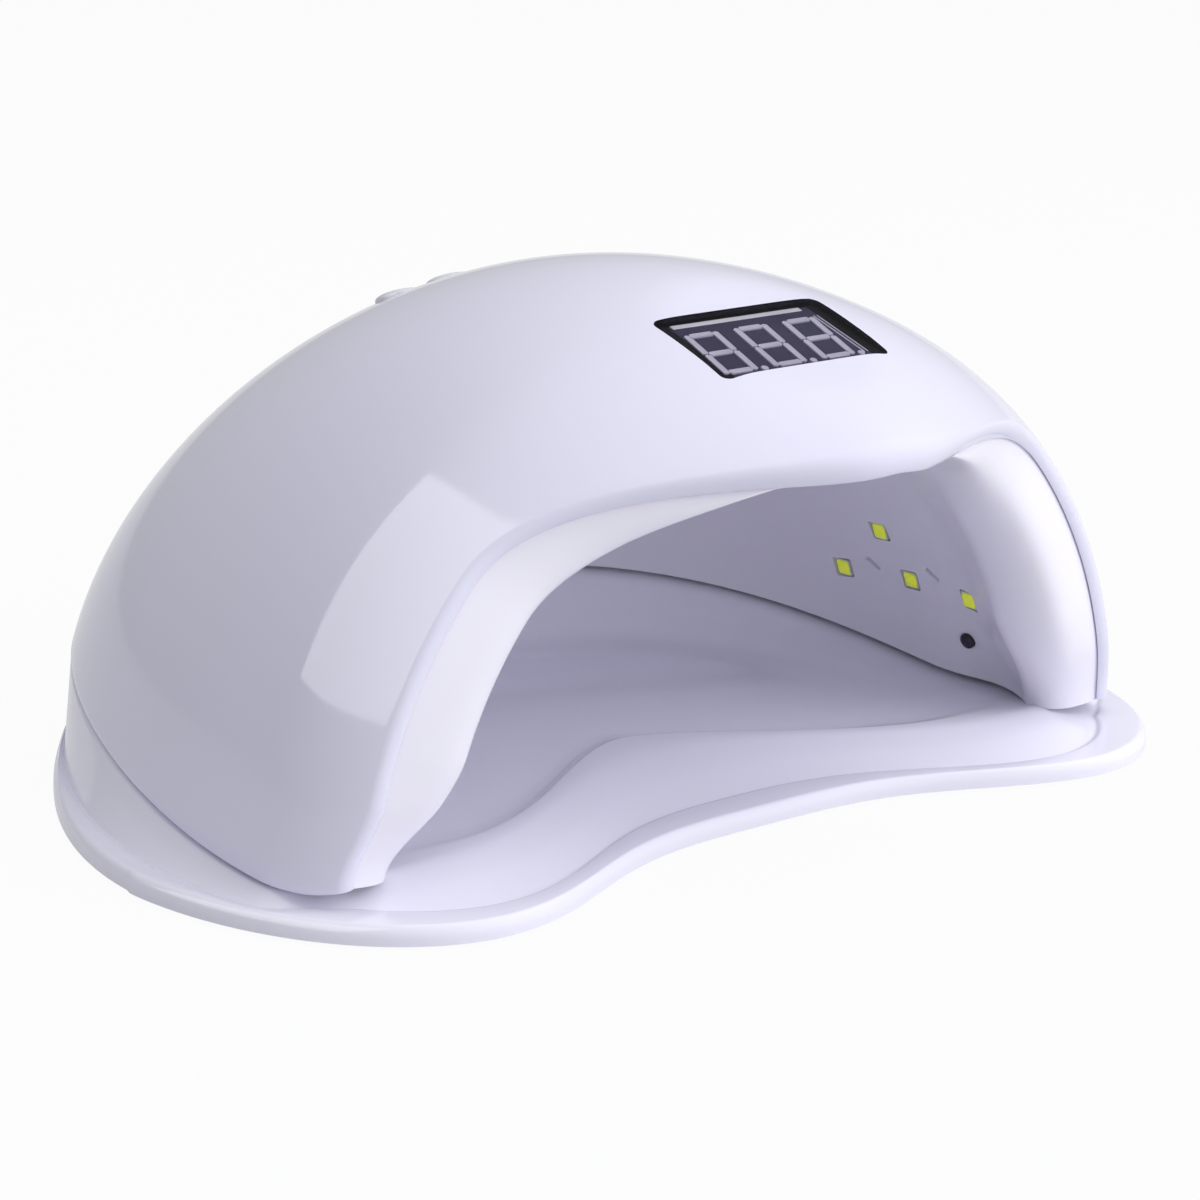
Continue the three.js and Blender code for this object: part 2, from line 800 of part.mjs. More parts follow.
function insideTunnel(point) {
  const across = Math.abs(point.x) / tunnelHalf(point.y);
  const up = Math.max(point.z - tunnelRootZ, 0) / (ceilingZ(point.y) - tunnelRootZ);
  return across ** tunnelArchPower + up ** tunnelArchPower < 1;
}

// Distance from a place to the tunnel's surface, going inward
function reachIn(point, inward) {
  let low = 0;
  let high = tunnelHalfWidth / 2;
  while (high - low > searchShare * tunnelHalfWidth) {
    const middle = (low + high) / 2;
    if (insideTunnel(point.clone().addScaledVector(inward, middle))) {
      high = middle;
    } else {
      low = middle;
    }
  }
  return high;
}

// A frame on a board behind the liner: a along the lamp, b round the tunnel, c out of it
function boardFrame(side, tilt, y, z, out) {
  const normal = new THREE.Vector3(side * Math.cos(tilt), 0, Math.sin(tilt));
  const along = new THREE.Vector3(0, 1, 0);
  const round = new THREE.Vector3().crossVectors(normal, along);
  const start = new THREE.Vector3(0, y, z);
  const sideways = side ? new THREE.Vector3(side, 0, 0) : normal;
  const surface = start.addScaledVector(sideways, reachOut(start, sideways));
  const origin = surface.addScaledVector(normal, linerWall + out);
  const matrix = new THREE.Matrix4().makeBasis(along, round, normal).setPosition(origin);
  const put = (geometry, a, b, c) => geometry.clone().translate(a, b, c).applyMatrix4(matrix);
  const at = (a, b) => new THREE.Vector3(a, b, 0).applyMatrix4(matrix);
  return { put, at, inward: normal.clone().negate() };
}

function reachOut(start, direction) {
  const far = start.clone().addScaledVector(direction, baseWidth / 2);
  const back = direction.clone().negate();
  let low = 0;
  let high = baseWidth / 2;
  while (high - low > searchShare * baseWidth) {
    const middle = (low + high) / 2;
    if (insideTunnel(far.clone().addScaledVector(back, middle))) {
      high = middle;
    } else {
      low = middle;
    }
  }
  return baseWidth / 2 - high;
}

function ledSet(frame, places) {
  const leds = [];
  const holes = [];
  for (const [a, b] of places) {
    const height = reachIn(frame.at(a, b), frame.inward);
    leds.push(frame.put(block(ledSide, ledSide, height - fitGap / 3), a, b, -height));
    const side = ledSide + 2 * fitGap;
    holes.push(frame.put(block(side, side, height + cutOverrun), a, b, -height - cutOverrun));
  }
  return { leds, holes: holes.map(toManifold) };
}

function sensorSet(frame) {
  const height = reachIn(frame.at(0, 0), frame.inward);
  const sensor = frame.put(turned(sensorRadius, height), 0, 0, -height);
  const bore = frame.put(turned(sensorBore + fitGap, height + cutOverrun), 0, 0, -height - cutOverrun);
  return { sensor, hole: toManifold(bore) };
}

const linerHoles = [];

const sideBoardZ = tunnelCeiling * sideBoardRiseShare;
for (const [name, side] of [['left', -1], ['right', 1]]) {
  const frame = boardFrame(side, radians(sideBoardTilt), sideBoardY, sideBoardZ, sideBoardGap);
  const board = block(sideBoardLength, sideBoardWidth, boardWall);
  add(`led_board_${name}`, frame.put(board, 0, 0, 0), boardGreen);
  const places = sideLedShares.map(([a, b]) => [a * sideBoardLength, -side * b * sideBoardWidth]);
  const set = ledSet(frame, places);
  set.leds.forEach((led, i) => add(`led_${name}_${i + 1}`, led, ledYellow));
  const sensorZ = tunnelCeiling * sensorRiseShare;
  const eye = sensorSet(boardFrame(side, radians(sideBoardTilt), sensorY, sensorZ, sensorDepth));
  add(side < 0 ? 'sensor_emitter' : 'sensor_receiver', eye.sensor, sensorBlack);
  linerHoles.push(...set.holes, eye.hole);
}

const topFrame = boardFrame(0, Math.PI / 2, topBoardY, innerEdgeZ(topBoardY), topBoardGap);
add('led_board_top', topFrame.put(block(topBoardLength, topBoardWidth, boardWall), 0, 0, 0), boardGreen);
const topSet = ledSet(topFrame, topLedShares.map(([a, b]) => [a * topBoardLength, b * topBoardWidth]));
topSet.leds.forEach((led, i) => add(`led_top_${i + 1}`, led, ledYellow));
linerHoles.push(...topSet.holes);

// Housing screws through the rim into posts of the shell

// Directions from the tray's middle, given from straight right, mirrored to the left
const bothSides = (degrees) => degrees.flatMap((angle) => [Math.PI - radians(angle), radians(angle)]);
const screwAngles = bothSides([screwFrontAngle, screwRearAngle]);
const rimBosses = [];
const rimBores = [];
const shellPosts = [];
screwAngles.forEach((angle, i) => {
  const { point, normal } = seatPlace(angle);
  const slope = Math.hypot(normal.x, normal.y) / normal.z;
  const low = point.z - bossRadius * slope;
  const seat = point.z + screwHeadRadius * slope + screwHeadHeight + 2 * fitGap;
  const bossTop = seat + bossHeight - screwHeadHeight;
  rimBosses.push(toManifold(placed(turned(bossRadius, bossTop - low), point.clone().setZ(low))));
  const neck = turned(screwRadius + fitGap, bossTop - low + 2 * cutOverrun);
  rimBores.push(toManifold(placed(neck, point.clone().setZ(low - cutOverrun))));
  const recess = turned(screwHeadRadius + fitGap, seat - low + cutOverrun);
  rimBores.push(toManifold(placed(recess, point.clone().setZ(low - cutOverrun))));
  add(`housing_screw_${i + 1}`,
    placed(screw(screwLength), point.clone().setZ(seat - fitGap / 3)), steel);
  const post = toManifold(placed(turned(bossRadius, crownHeight), point.clone().setZ(bossTop + fitGap)));
  const hole = turned(screwRadius + fitGap, screwLength + cutOverrun);
  const bore = toManifold(placed(hole, point.clone().setZ(bossTop - cutOverrun)));
  shellPosts.push(post.intersect(shellCore).subtract(bore));
});

// Power inlet at the rear

const powerFloor = edgeZ(shellRearY) + powerBoardRise;
const jackAxisZ = powerFloor + boardWall + fitGap / 3 + jackHeight / 2;
const jackWallY = meeting(spineZ, () => jackAxisZ + jackHeight / 2, crownY, domeRearY);
const jackFrontY = jackWallY - 1.5 * shellWall - jackLength;
const jackPowerY = jackFrontY + powerBoardLength / 2;
add('power_board', block(powerBoardWidth, powerBoardLength, boardWall).translate(0, jackPowerY, powerFloor),
  boardGreen);
const jackBody = block(jackWidth, jackLength, jackHeight)
  .translate(0, jackFrontY + jackLength / 2, jackAxisZ - jackHeight / 2);
const rearward = new THREE.Vector3(0, 1, 0);
const jackStart = new THREE.Vector3(0, jackFrontY + jackLength / 2, jackAxisZ);
const jackReach = meeting(spineZ, () => jackAxisZ, crownY, domeRearY) - jackStart.y;
const collar = placed(turned(jackCollarRadius - fitGap, jackReach), jackStart, rearward);
const socketBore = placed(turned(jackBore, jackReach + cutOverrun), jackStart, rearward);
const socketPin = placed(turned(jackPinRadius, jackReach - shellWall), jackStart, rearward);
const socket = unite([toManifold(jackBody), toManifold(collar)]).subtract(toManifold(socketBore));
add('dc_socket', toGeometry(socket.add(toManifold(socketPin))), switchBlack);
const jackHole = toManifold(placed(turned(jackCollarRadius, jackReach + cutOverrun), jackStart, rearward));

const powerPosts = [-powerPostX, powerPostX].map((x) => {
  const low = innerEdgeZ(shellRearY);
  return toManifold(turned(powerPostRadius, powerFloor - fitGap - low).translate(x, jackPowerY, low));
});

// Shell and liner with their openings

const buttonHoles = buttonXs.map((x) =>
  toManifold(buttonFrame.put(turned(buttonRadius + fitGap, 2 * cutOverrun, roundSides), x, 0,
    -buttonSag(x) - cutOverrun)));
const shellCuts = [toManifold(prism(fitGap)), jackHole, ...buttonHoles];
const shell = unite([cut(shellBlank, shellCuts), ...boardBosses, ...displayRibs, ...shellPosts]);
add('outer_shell', toGeometry(shell), glossWhite);

const belowRim = seatLayer(-crownHeight, -fitGap / 4, 0);
const linerPosts = unite([...rimBosses, ...powerPosts]);
const tunnelGrid = offsetGrid(linerGrid.slice(flareSteps), linerNormals.slice(flareSteps), linerWall / 2);
const tunnelCore = toManifold(new ConvexGeometry(tunnelGrid.flat()));
const linerRim = seatLayer(0, rimWall, linerWall / 2);
const linerBody = unite([linerDome, linerRim, linerPosts.subtract(tunnelCore)]).subtract(belowRim);
add('inner_liner', toGeometry(cut(linerBody, [...rimBores, ...linerHoles])), linerWhite);

// Magnets on both sides of the seat

bothSides([magnetFrontAngle, magnetRearAngle]).forEach((angle, i) => {
  const { point, normal } = seatPlace(angle);
  const over = point.clone().addScaledVector(normal, rimWall + fitGap);
  const under = point.clone().addScaledVector(normal, -(trayWall + 3 * fitGap + magnetHeight));
  add(`housing_magnet_${i + 1}`, placed(turned(magnetRadius, magnetHeight), over, normal), magnetSteel);
  add(`base_magnet_${i + 1}`, placed(turned(magnetRadius, magnetHeight), under, normal), magnetSteel);
});

// Base tray, as rings round its middle

function trayOutline() {
  const points = [];
  const fullMargin = baseWidth / 2 - domeHalfWidth;
  for (const share of edgeShares) {
    const place = shellEdge(share);
    if (place.y >= wideY) {
      const fade = smooth((place.y - wideY) / marginRun);
      points.push(besideEdge(shellEdge, share, fullMargin - (fullMargin - rearMargin) * fade));
    }
  }
  const lobeX = baseWidth / 2 - lobeHalfWidth;
  const right = [];
  const steps = edgeSteps / 4;
  for (let i = 1; i <= steps; i += 1) {
    const angle = (Math.PI / 2) * (i / steps);
    right.push([lobeX + lobeHalfWidth * Math.cos(angle), wideY - lobeDepth * Math.sin(angle)]);
  }
  const bayDepth = bayY - (wideY - lobeDepth);
  for (let i = 1; i <= steps; i += 1) {
    const share = 1 - i / steps;
    const fall = ((1 - Math.cos(Math.PI * share)) / 2) ** bayPower;
    right.push([lobeX * share, bayY - bayDepth * fall]);
  }
  right.forEach(([x, y]) => points.push(new THREE.Vector3(x, y, 0)));
  right.slice(0, -1).reverse().forEach(([x, y]) => points.push(new THREE.Vector3(-x, y, 0)));
  return points;
}

const outlinePoints = trayOutline();

// Section of the tray along one ray: its top from the rim to the middle, and its underside
function trayStation(angle) {
  const rim = rayReach(outlinePoints, angle, true);
  const line = seatLine(angle);
  const yAt = (reach) => trayCentreY + reach * Math.sin(angle);
  const seatOut = line ? rayReach(shellEdgePoints, angle, false) : rim - slopeRun;
  const seatIn = line ? seatOut - line.width : rim - seatRun;
  const outTop = (line ? line.out.z : footZ) - 2 * fitGap;
  const inTop = (line ? line.in.z : footZ) - fitGap;
  const crease = Math.max(rim - flangeWidth, (rim + seatOut) / 2);
  const heel = Math.min(seatOut + heelProud, (seatOut + crease) / 2);
  const heelMiddle = (creaseZ + outTop) / 2;
  const coveZ = coveDropShares.map((share) => deckZ + (inTop - deckZ) * share);
  const coves = trayCoveShares.map((share, i) => [seatIn * share, coveZ[i]]);
  const under = (height) => Math.max(height - trayWall, floorGap);
  const top = [
    [rim, floorGap],
    [rim, floorGap + flangeEdge / 2],
    [rim - flangeEdge / 2, floorGap + flangeEdge],
    [crease, creaseZ],
    [heel, heelMiddle],
    [seatOut, outTop],
    [seatIn, inTop],
    ...coves,
    [0, deckZ],
  ];
  const bottom = [
    [rim - flangeEdge, floorGap],
    [crease - trayWall / 2, floorGap],
    [heel - trayWall, under(heelMiddle)],
    [seatOut - trayWall, under(outTop)],
    [seatIn + trayWall, under(inTop)],
    ...coves.map(([reach, z]) => [reach, z - trayWall]),
    [0, deckZ - trayWall],
  ];
  return [top, bottom].map((ring) => ring.map(([reach, z]) =>
    new THREE.Vector3(reach * Math.cos(angle), yAt(reach), z)));
}

function trayGeometry() {
  const stations = [];
  for (let i = 0; i < trayStations; i += 1) {
    const [top, bottom] = trayStation(trayAngle(i));
    stations.push([...top.reverse(), ...bottom]);
  }
  const size = stations[0].length;
  const positions = stations.flat().flatMap((point) => [point.x, point.y, point.z]);
  const indices = [];
  for (let i = 0; i < trayStations; i += 1) {
    const next = (i + 1) % trayStations;
    for (let j = 0; j + 1 < size; j += 1) {
      const [a, b] = [i * size + j, next * size + j];
      indices.push(a, a + 1, b + 1, a, b + 1, b);
    }
  }
  return solidMesh(positions, indices);
}

add('base_plate', trayGeometry(), baseWhite);

const footPairs = [[footFrontX, footFrontY], [footRearX, footRearY]];
const footPlaces = footPairs.flatMap(([x, y]) => [[-x, y], [x, y]]);
const footHeight = deckZ - trayWall - fitGap;
footPlaces.forEach(([x, y], i) => add(`rubber_foot_${i + 1}`,
  turned(footRadius, footHeight, roundSides).translate(x, y, 0), rubberGrey));

// The origin is the middle of the footprint
const extent = new THREE.Box3().setFromObject(group);
group.position.y = -(extent.min.y + extent.max.y) / 2;

export default group;
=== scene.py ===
import math

import bpy
import numpy as np
from mathutils import Matrix, Vector


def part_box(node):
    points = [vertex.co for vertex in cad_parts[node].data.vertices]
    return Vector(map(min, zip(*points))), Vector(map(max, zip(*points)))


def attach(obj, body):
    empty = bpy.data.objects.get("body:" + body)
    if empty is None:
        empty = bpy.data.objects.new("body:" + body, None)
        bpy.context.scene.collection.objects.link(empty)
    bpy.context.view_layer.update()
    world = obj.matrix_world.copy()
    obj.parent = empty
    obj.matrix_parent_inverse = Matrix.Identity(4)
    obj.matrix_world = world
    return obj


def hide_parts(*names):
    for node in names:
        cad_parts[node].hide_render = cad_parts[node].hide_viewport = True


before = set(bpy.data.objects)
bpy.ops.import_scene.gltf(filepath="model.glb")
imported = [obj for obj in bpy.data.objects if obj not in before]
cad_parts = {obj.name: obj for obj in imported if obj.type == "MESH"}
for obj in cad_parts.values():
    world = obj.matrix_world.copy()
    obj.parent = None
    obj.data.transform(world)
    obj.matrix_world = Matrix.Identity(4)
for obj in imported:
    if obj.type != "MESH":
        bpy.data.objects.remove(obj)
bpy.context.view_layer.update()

# Millimetres below, in the lamp's own frame, with the tray's middle line at x = 0

MM = 0.001
FIT_GAP = 0.35

SHELL_WALL = 2.4
CROWN_HEIGHT = 90.7
CROWN_Y = -17
DOME_HALF_WIDTH = 92.1
DOME_WIDE_Y = -35.4
DOME_REAR_Y = 85.8
DOME_ROOT_Z = 4.4
DOME_PLAN_POWER = 2.45
DOME_SPINE_POWER = 2.02
DOME_ARCH_POWER = 1.95
FOOT_Y = -51.8
FOOT_HALF_WIDTH = 85.5
LIP_Y = -78.3
VISOR_DROP = 18.5
LIP_RADIUS = 4.3
LEG_RADIUS = 2.3
SEAM_GAP = 0.09
SEAM_STEP = 0.6
VISOR_START_ANGLE = 35.6
VISOR_CROWN_POWER = 3.1
VISOR_FOOT_POWER = 2.9

FOOT_Z = 5.3
EDGE_START_Y = -41
EDGE_RUN = 118
EDGE_RISE = 17
INNER_EDGE_RISE = 15.4
TOE_LIFT = 1.6
TOE_START_Y = -44
TOE_RUN = 10
TOE_BACK = 3
TOE_SHARE = 0.06

LINER_WALL = 2
TUNNEL_HALF_WIDTH = 76
TUNNEL_WIDE_Y = -23
TUNNEL_REAR_Y = 59.5
TUNNEL_PLAN_POWER = 2.25
TUNNEL_CEILING = 68.2
TUNNEL_LIP_DROP = 0.8
TUNNEL_ROOT_Z = -0.8
TUNNEL_ARCH_POWER = 2.05
FLARE_DEPTH = 5.5
LEG_FLARE_DEPTH = 8
FLARE_POWER = 3
FLARE_FORWARD = 6.5
FLARE_FADE_POWER = 6
FLARE_CROWDING = 1.5
FOOT_FLARE = 0.09
FOOT_FLARE_SHARE = 0.095
FOOT_FLARE_RUN = 25
NECK = 11.5
NECK_START_Y = -26
NECK_RUN = 26
RIM_WALL = 2
RIM_END_ANGLE = -31.4
RIM_STEPS = 300

TRAY_WALL = 2.2
DECK_Z = 5
FLOOR_GAP = 0.5
FLANGE_EDGE = 1.8
FLANGE_TOP = 3.7
FLANGE_WIDTH = 9.2
FLANGE_SHOULDER = 0.9
FLANGE_ROUND = 1.4
CREASE_Z = 3.4
CREASE_DIP = 0.45
CREASE_WIDTH = 0.9
SLOPE_RUN = 25
SEAT_GAP = 0.85
FRONT_TOP_Z = 6.2
DECK_EDGE_Y = -22
DECK_EDGE_HALF = 55
DECK_EDGE_DEPTH = 26
DECK_EDGE_POWER = 1.6
DECK_MARGIN = 8
HEEL_PROUD = 1.8
MIDDLE_RADIUS = 0.2
COVE_SHARES = (0.95, 0.86, 0.72, 0.4)
COVE_DROP_SHARES = (0.55, 0.16, 0, 0)
COVE_RADII = (6, 3, 3, 2)
SEAT_IN_RADIUS = 1.6
SEAT_OUT_RADIUS = 1.1
RAMP_TOP_RADIUS = 3
HEEL_RADIUS = 2.4
CREASE_RADII = (0.35, 0.5)
FLANGE_RADII = (0.8, 1.2)
TRAY_RAYS = 480
FRONT_BLUR = 6
FRONT_GAIN = 4
SEAT_BLUR = 7
CORNER_ROOM = 0.45
BASE_WIDTH = 207.3
LOBE_HALF_WIDTH = 36.4
LOBE_DEPTH = 51.9
LOBE_STEPS = 120
BAY_Y = -52.4
BAY_POWER = 1.89
WIDE_Y = -15.8
REAR_MARGIN = 2.4
MARGIN_RUN = 71
TRAY_CENTRE_Y = 5

WINDOW_WIDTH = 36.6
WINDOW_LENGTH = 19.4
WINDOW_CORNER = 1.6
WINDOW_FRONT_Y = -59.4
FLAT_MARGIN = 1
FLAT_DROP = 1.4
FLAT_EDGE = 0.25
FLAT_FRONT_FADE = 15
FLAT_REAR_FADE = 24
LENS_WALL = 1
WINDOW_CUT_DEPTH = 5
POCKET_DEPTH = 8
POCKET_MARGIN = 1.2
MASK_MARGIN = 1
MASK_WALL = 0.5
MASK_DROP = 0.1
MODULE_WIDTH = 31
MODULE_LENGTH = 18.4
MODULE_ASIDE = 0.7
MODULE_HEIGHT = 6
MODULE_BEVEL = 0.15
LEDGE_BEVEL = 0.04
LEDGE_LENGTH = 28.6
LEDGE_WIDTH = 1.1
LEDGE_HEIGHT = 0.12
LEDGE_ASIDE = -0.7
LEDGE_BACK = 0.55
# Two thin pale strips beside the digits, near the module's right side, are painted glints
GLINT_LENGTH = 13
GLINT_HEIGHT = 0.1
GLINT_Y = -0.4
GLINTS = ((0.3, 1.1), (0.25, 0.3))
LEDGE_SUNK = 0.02
DIGIT_HEIGHT = 13.3
DIGIT_WIDTH = 7.4
DIGIT_PITCH = 10.8
DIGIT_ASIDE = -0.9
DIGIT_FORWARD = 0.9
SEGMENT_WIDTH = 1.25
SEGMENT_HEIGHT = 0.25
BAR_TRIM = 0.9
POST_SHIFT = 0.4
POST_TRIM = -0.3
SEGMENT_INSET = 0.16
SEGMENT_BEVEL = 0.06
POINT_RADIUS = 0.7
POINT_GAP = 0.4
POINT_DROP = 0.3
DIGIT_SLANT = 8

BUTTON_COUNT = 4
BUTTON_RADIUS = 4.2
BUTTON_PITCH = 11.6
BUTTON_ROW_Y = 28
BUTTON_PROUD = 0.75
BUTTON_COLLAR = 1
BUTTON_COLLAR_WALL = 1.2
BUTTON_STEM_RADIUS = 1.6
BUTTON_STEM_LENGTH = 4
BUTTON_CURVE = ((BUTTON_RADIUS, 1.15), (4.12, 0.86), (3.9, 0.6), (3.5, 0.38),
                (2.9, 0.2), (2.1, 0.08), (1.1, 0.02), (0.05, 0))

LED_SIDE = 3.4
LED_CORNER = 0.35
LED_HOLE_CORNER = 0.5
LED_HOLE_PAST = 4
LED_SUNK = 0.1
PHOSPHOR_MARGIN = 0.25
PHOSPHOR_HEIGHT = 0.35
PHOSPHOR_CORNER = 0.6
PHOSPHOR_PROUD = 0.25
PHOSPHOR_BEVEL = 0.12
SIDE_BOARD_LENGTH = 38
SIDE_BOARD_WIDTH = 24
SIDE_BOARD_Y = -13.3
SIDE_BOARD_RISE = 0.381
SIDE_BOARD_GAP = 2.5
SIDE_BOARD_TILT = 20.5
TOP_BOARD_SIDE = 40
TOP_BOARD_Y = -13
TOP_BOARD_GAP = 3
SIDE_LED_SHARES = ((0.088, -0.313), (0.401, 0.112), (-0.014, 0.119), (-0.401, 0.154))
TOP_LED_SHARES = ((-0.36, -0.3), (-0.36, 0.3), (0, -0.34), (0, 0.34), (0.36, -0.3), (0.36, 0.3))
SLOT_SHARES = ((0.205, 0.03), (-0.18, 0.01))
SLOT_LENGTH = 3.3
SLOT_WIDTH = 1.1
SLOT_DEPTH = 0.7
SLOT_PAST = 1
SLOT_TURN = 40
SENSOR_Y = -25.2
SENSOR_RISE = 0.195
SENSOR_DEPTH = 1.5
SENSOR_RADIUS = 1.55
SENSOR_BORE = 1.45
SENSOR_DOME = ((1.4, 0.3), (1.1, 0.12), (0.7, 0.02), (0.05, 0))
SENSOR_DOME_HEIGHT = 0.6

JACK_HOLE_RADIUS = 4.6
JACK_HOLE_LENGTH = 30
JACK_HOLE_START = 22
JACK_COLLAR_RADIUS = 4.25
JACK_COLLAR_START = 5
JACK_ROUND = 0.4
JACK_BORE = 2.9
JACK_COLLAR_CURVE = ((JACK_COLLAR_RADIUS, JACK_ROUND), (4, 0), (3.1, 0), (JACK_BORE, 0.3))
JACK_BORE_START = 5.2
JACK_BODY_LENGTH = 10.5
PIN_RADIUS = 1
PIN_CURVE = ((PIN_RADIUS, 0.7), (0.7, 0.1), (0.05, 0))
PIN_SUNK = 1.5

RUBBER_FOOT_PROFILE = ((5.4, 0), (5.85, 0.3), (6, 0.9))
RUBBER_FOOT_Y = -42

MERGE_GAP = 0.02
EDGE_BEVEL = 0.35
CUT_PAST = 4
HALVINGS = 50

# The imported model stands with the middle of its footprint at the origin
foot_low, foot_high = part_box("rubber_foot_1")
SHIFT_Y = (foot_low.y + foot_high.y) / 2 / MM - RUBBER_FOOT_Y


def place(points):
    """Millimetres of the lamp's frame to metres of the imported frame."""
    return (np.asarray(points, dtype=float) + (0, SHIFT_Y, 0)) * MM


# Surfaces of the dome and of the tunnel


def smooth(share):
    t = np.clip(share, 0, 1)
    return t * t * (3 - 2 * t)


def dome_half(y):
    ahead = (y - DOME_WIDE_Y) / (FOOT_Y - DOME_WIDE_Y)
    behind = np.clip((y - DOME_WIDE_Y) / (DOME_REAR_Y - DOME_WIDE_Y), 0, 1)
    front = DOME_HALF_WIDTH - (DOME_HALF_WIDTH - FOOT_HALF_WIDTH) * ahead ** 2
    rear = DOME_HALF_WIDTH * (1 - behind ** DOME_PLAN_POWER) ** (1 / DOME_PLAN_POWER)
    return np.where(y <= DOME_WIDE_Y, front, rear)


def spine_z(y):
    ahead = (y - CROWN_Y) / (LIP_Y - CROWN_Y)
    behind = np.clip((y - CROWN_Y) / (DOME_REAR_Y - CROWN_Y), 0, 1)
    rear = CROWN_HEIGHT * (1 - behind ** DOME_SPINE_POWER) ** (1 / DOME_SPINE_POWER)
    return np.where(y <= CROWN_Y, CROWN_HEIGHT - VISOR_DROP * ahead ** 2, rear)


def toe_lift(y):
    return TOE_LIFT * smooth((TOE_START_Y - y) / TOE_RUN)


def edge_z(y):
    return FOOT_Z + EDGE_RISE * smooth((y - EDGE_START_Y) / EDGE_RUN) + toe_lift(y)


def inner_edge_z(y):
    return FOOT_Z + INNER_EDGE_RISE * smooth((y - EDGE_START_Y) / EDGE_RUN) + toe_lift(y)


def tunnel_half(y):
    share = np.clip((y - TUNNEL_WIDE_Y) / (TUNNEL_REAR_Y - TUNNEL_WIDE_Y), 0, 1)
    full = TUNNEL_HALF_WIDTH * (1 - share ** TUNNEL_PLAN_POWER) ** (1 / TUNNEL_PLAN_POWER)
    return full - NECK * smooth((NECK_START_Y - y) / NECK_RUN)


def ceiling_z(y):
    ahead = (y - TUNNEL_WIDE_Y) / (LIP_Y - TUNNEL_WIDE_Y)
    behind = np.clip((y - TUNNEL_WIDE_Y) / (TUNNEL_REAR_Y - TUNNEL_WIDE_Y), 0, 1)
    rear = TUNNEL_CEILING * (1 - behind ** TUNNEL_PLAN_POWER) ** (1 / TUNNEL_PLAN_POWER)
    return np.where(y <= TUNNEL_WIDE_Y, TUNNEL_CEILING - TUNNEL_LIP_DROP * ahead ** 2, rear)


def arch(u, y, half, top, root, edge, power):
    rise = np.maximum(top - root, 1e-6)
    low = np.clip((edge - root) / rise, 0, 1)
    start = np.arcsin(low ** (power / 2))
    angle = start + (np.pi - 2 * start) * u
    across, up = np.cos(angle), np.maximum(np.sin(angle), 0)
    x = -half * np.sign(across) * np.abs(across) ** (2 / power)
    z = root + rise * up ** (2 / power)
    return np.stack(np.broadcast_arrays(x, y, z), axis=-1)


WINDOW_REAR_Y = WINDOW_FRONT_Y + WINDOW_LENGTH
WINDOW_SLOPE = float(spine_z(WINDOW_REAR_Y) - spine_z(WINDOW_FRONT_Y)) / WINDOW_LENGTH


def flattened(points):
    """Lets the dome down to a flat seat round the window."""
    y, z = points[..., 1], points[..., 2]
    seat = spine_z(WINDOW_FRONT_Y) + WINDOW_SLOPE * (y - WINDOW_FRONT_Y) - FLAT_DROP
    ahead = smooth((WINDOW_FRONT_Y - FLAT_MARGIN - y) / FLAT_FRONT_FADE)
    behind = smooth((y - WINDOW_REAR_Y - FLAT_MARGIN) / FLAT_REAR_FADE)
    above = np.logaddexp(0, (z - seat) / FLAT_EDGE) * FLAT_EDGE
    lowered = points.copy()
    lowered[..., 2] -= above * (1 - ahead) * (1 - behind)
    return lowered


def dome_point(u, y):
    return arch(u, y, dome_half(y), spine_z(y), DOME_ROOT_Z, edge_z(y), DOME_ARCH_POWER)


def tunnel_point(u, y):
    return arch(u, y, tunnel_half(y), ceiling_z(y), TUNNEL_ROOT_Z, inner_edge_z(y),
                TUNNEL_ARCH_POWER)


def last_place(holds, near, far):
    """The last place on the way from near to far where something still holds."""
    for _ in range(HALVINGS):
        middle = (near + far) / 2
        if holds(middle):
            near = middle
        else:
            far = middle
    return near


SHELL_REAR_Y = last_place(lambda y: spine_z(y) > edge_z(y), CROWN_Y, DOME_REAR_Y)
LINER_REAR_Y = last_place(lambda y: ceiling_z(y) > inner_edge_z(y), TUNNEL_WIDE_Y, TUNNEL_REAR_Y)


def visor_share(u):
    angle = 180 * np.minimum(u, 1 - u)
    back = np.minimum((90 - angle) / (90 - VISOR_START_ANGLE), 1)
    return (1 - back ** VISOR_CROWN_POWER) ** VISOR_FOOT_POWER


def front_y(u):
    toe = 1 - smooth(np.minimum(u, 1 - u) / TOE_SHARE)
    return FOOT_Y + TOE_BACK * toe + (LIP_Y - FOOT_Y) * visor_share(u)


def lip_bulge(u):
    return LEG_RADIUS + (LIP_RADIUS - LEG_RADIUS) * visor_share(u)


def unit(vectors):
    return vectors / np.linalg.norm(vectors, axis=-1, keepdims=True)


def front_frame(u, step=0.5):
    """Points of the dome's front edge, the way forward and the way out."""
    start = front_y(u)
    edge = dome_point(u, start)
    behind = dome_point(u, start + step)
    along = np.gradient(edge, axis=0)
    out = unit(np.cross(along, behind - edge))
    forward = edge - behind
    forward = unit(forward - out * np.sum(forward * out, axis=-1, keepdims=True))
    return edge, forward, out


def quarter(count):
    """Shares from 0 to 1 that crowd toward 1."""
    return np.sin(np.pi / 2 * np.linspace(0, 1, count + 1))


ARCH_STEPS = 160
LIP_ANGLES = np.radians(np.linspace(90, 9, 10))
FLARE_STEPS = 28
DOME_STEPS = 96
TUNNEL_STEPS = 64
ACROSS = np.linspace(0, 1, ARCH_STEPS + 1)
EDGE, FORWARD, OUT = front_frame(ACROSS)
BULGE = lip_bulge(ACROSS)[:, None]


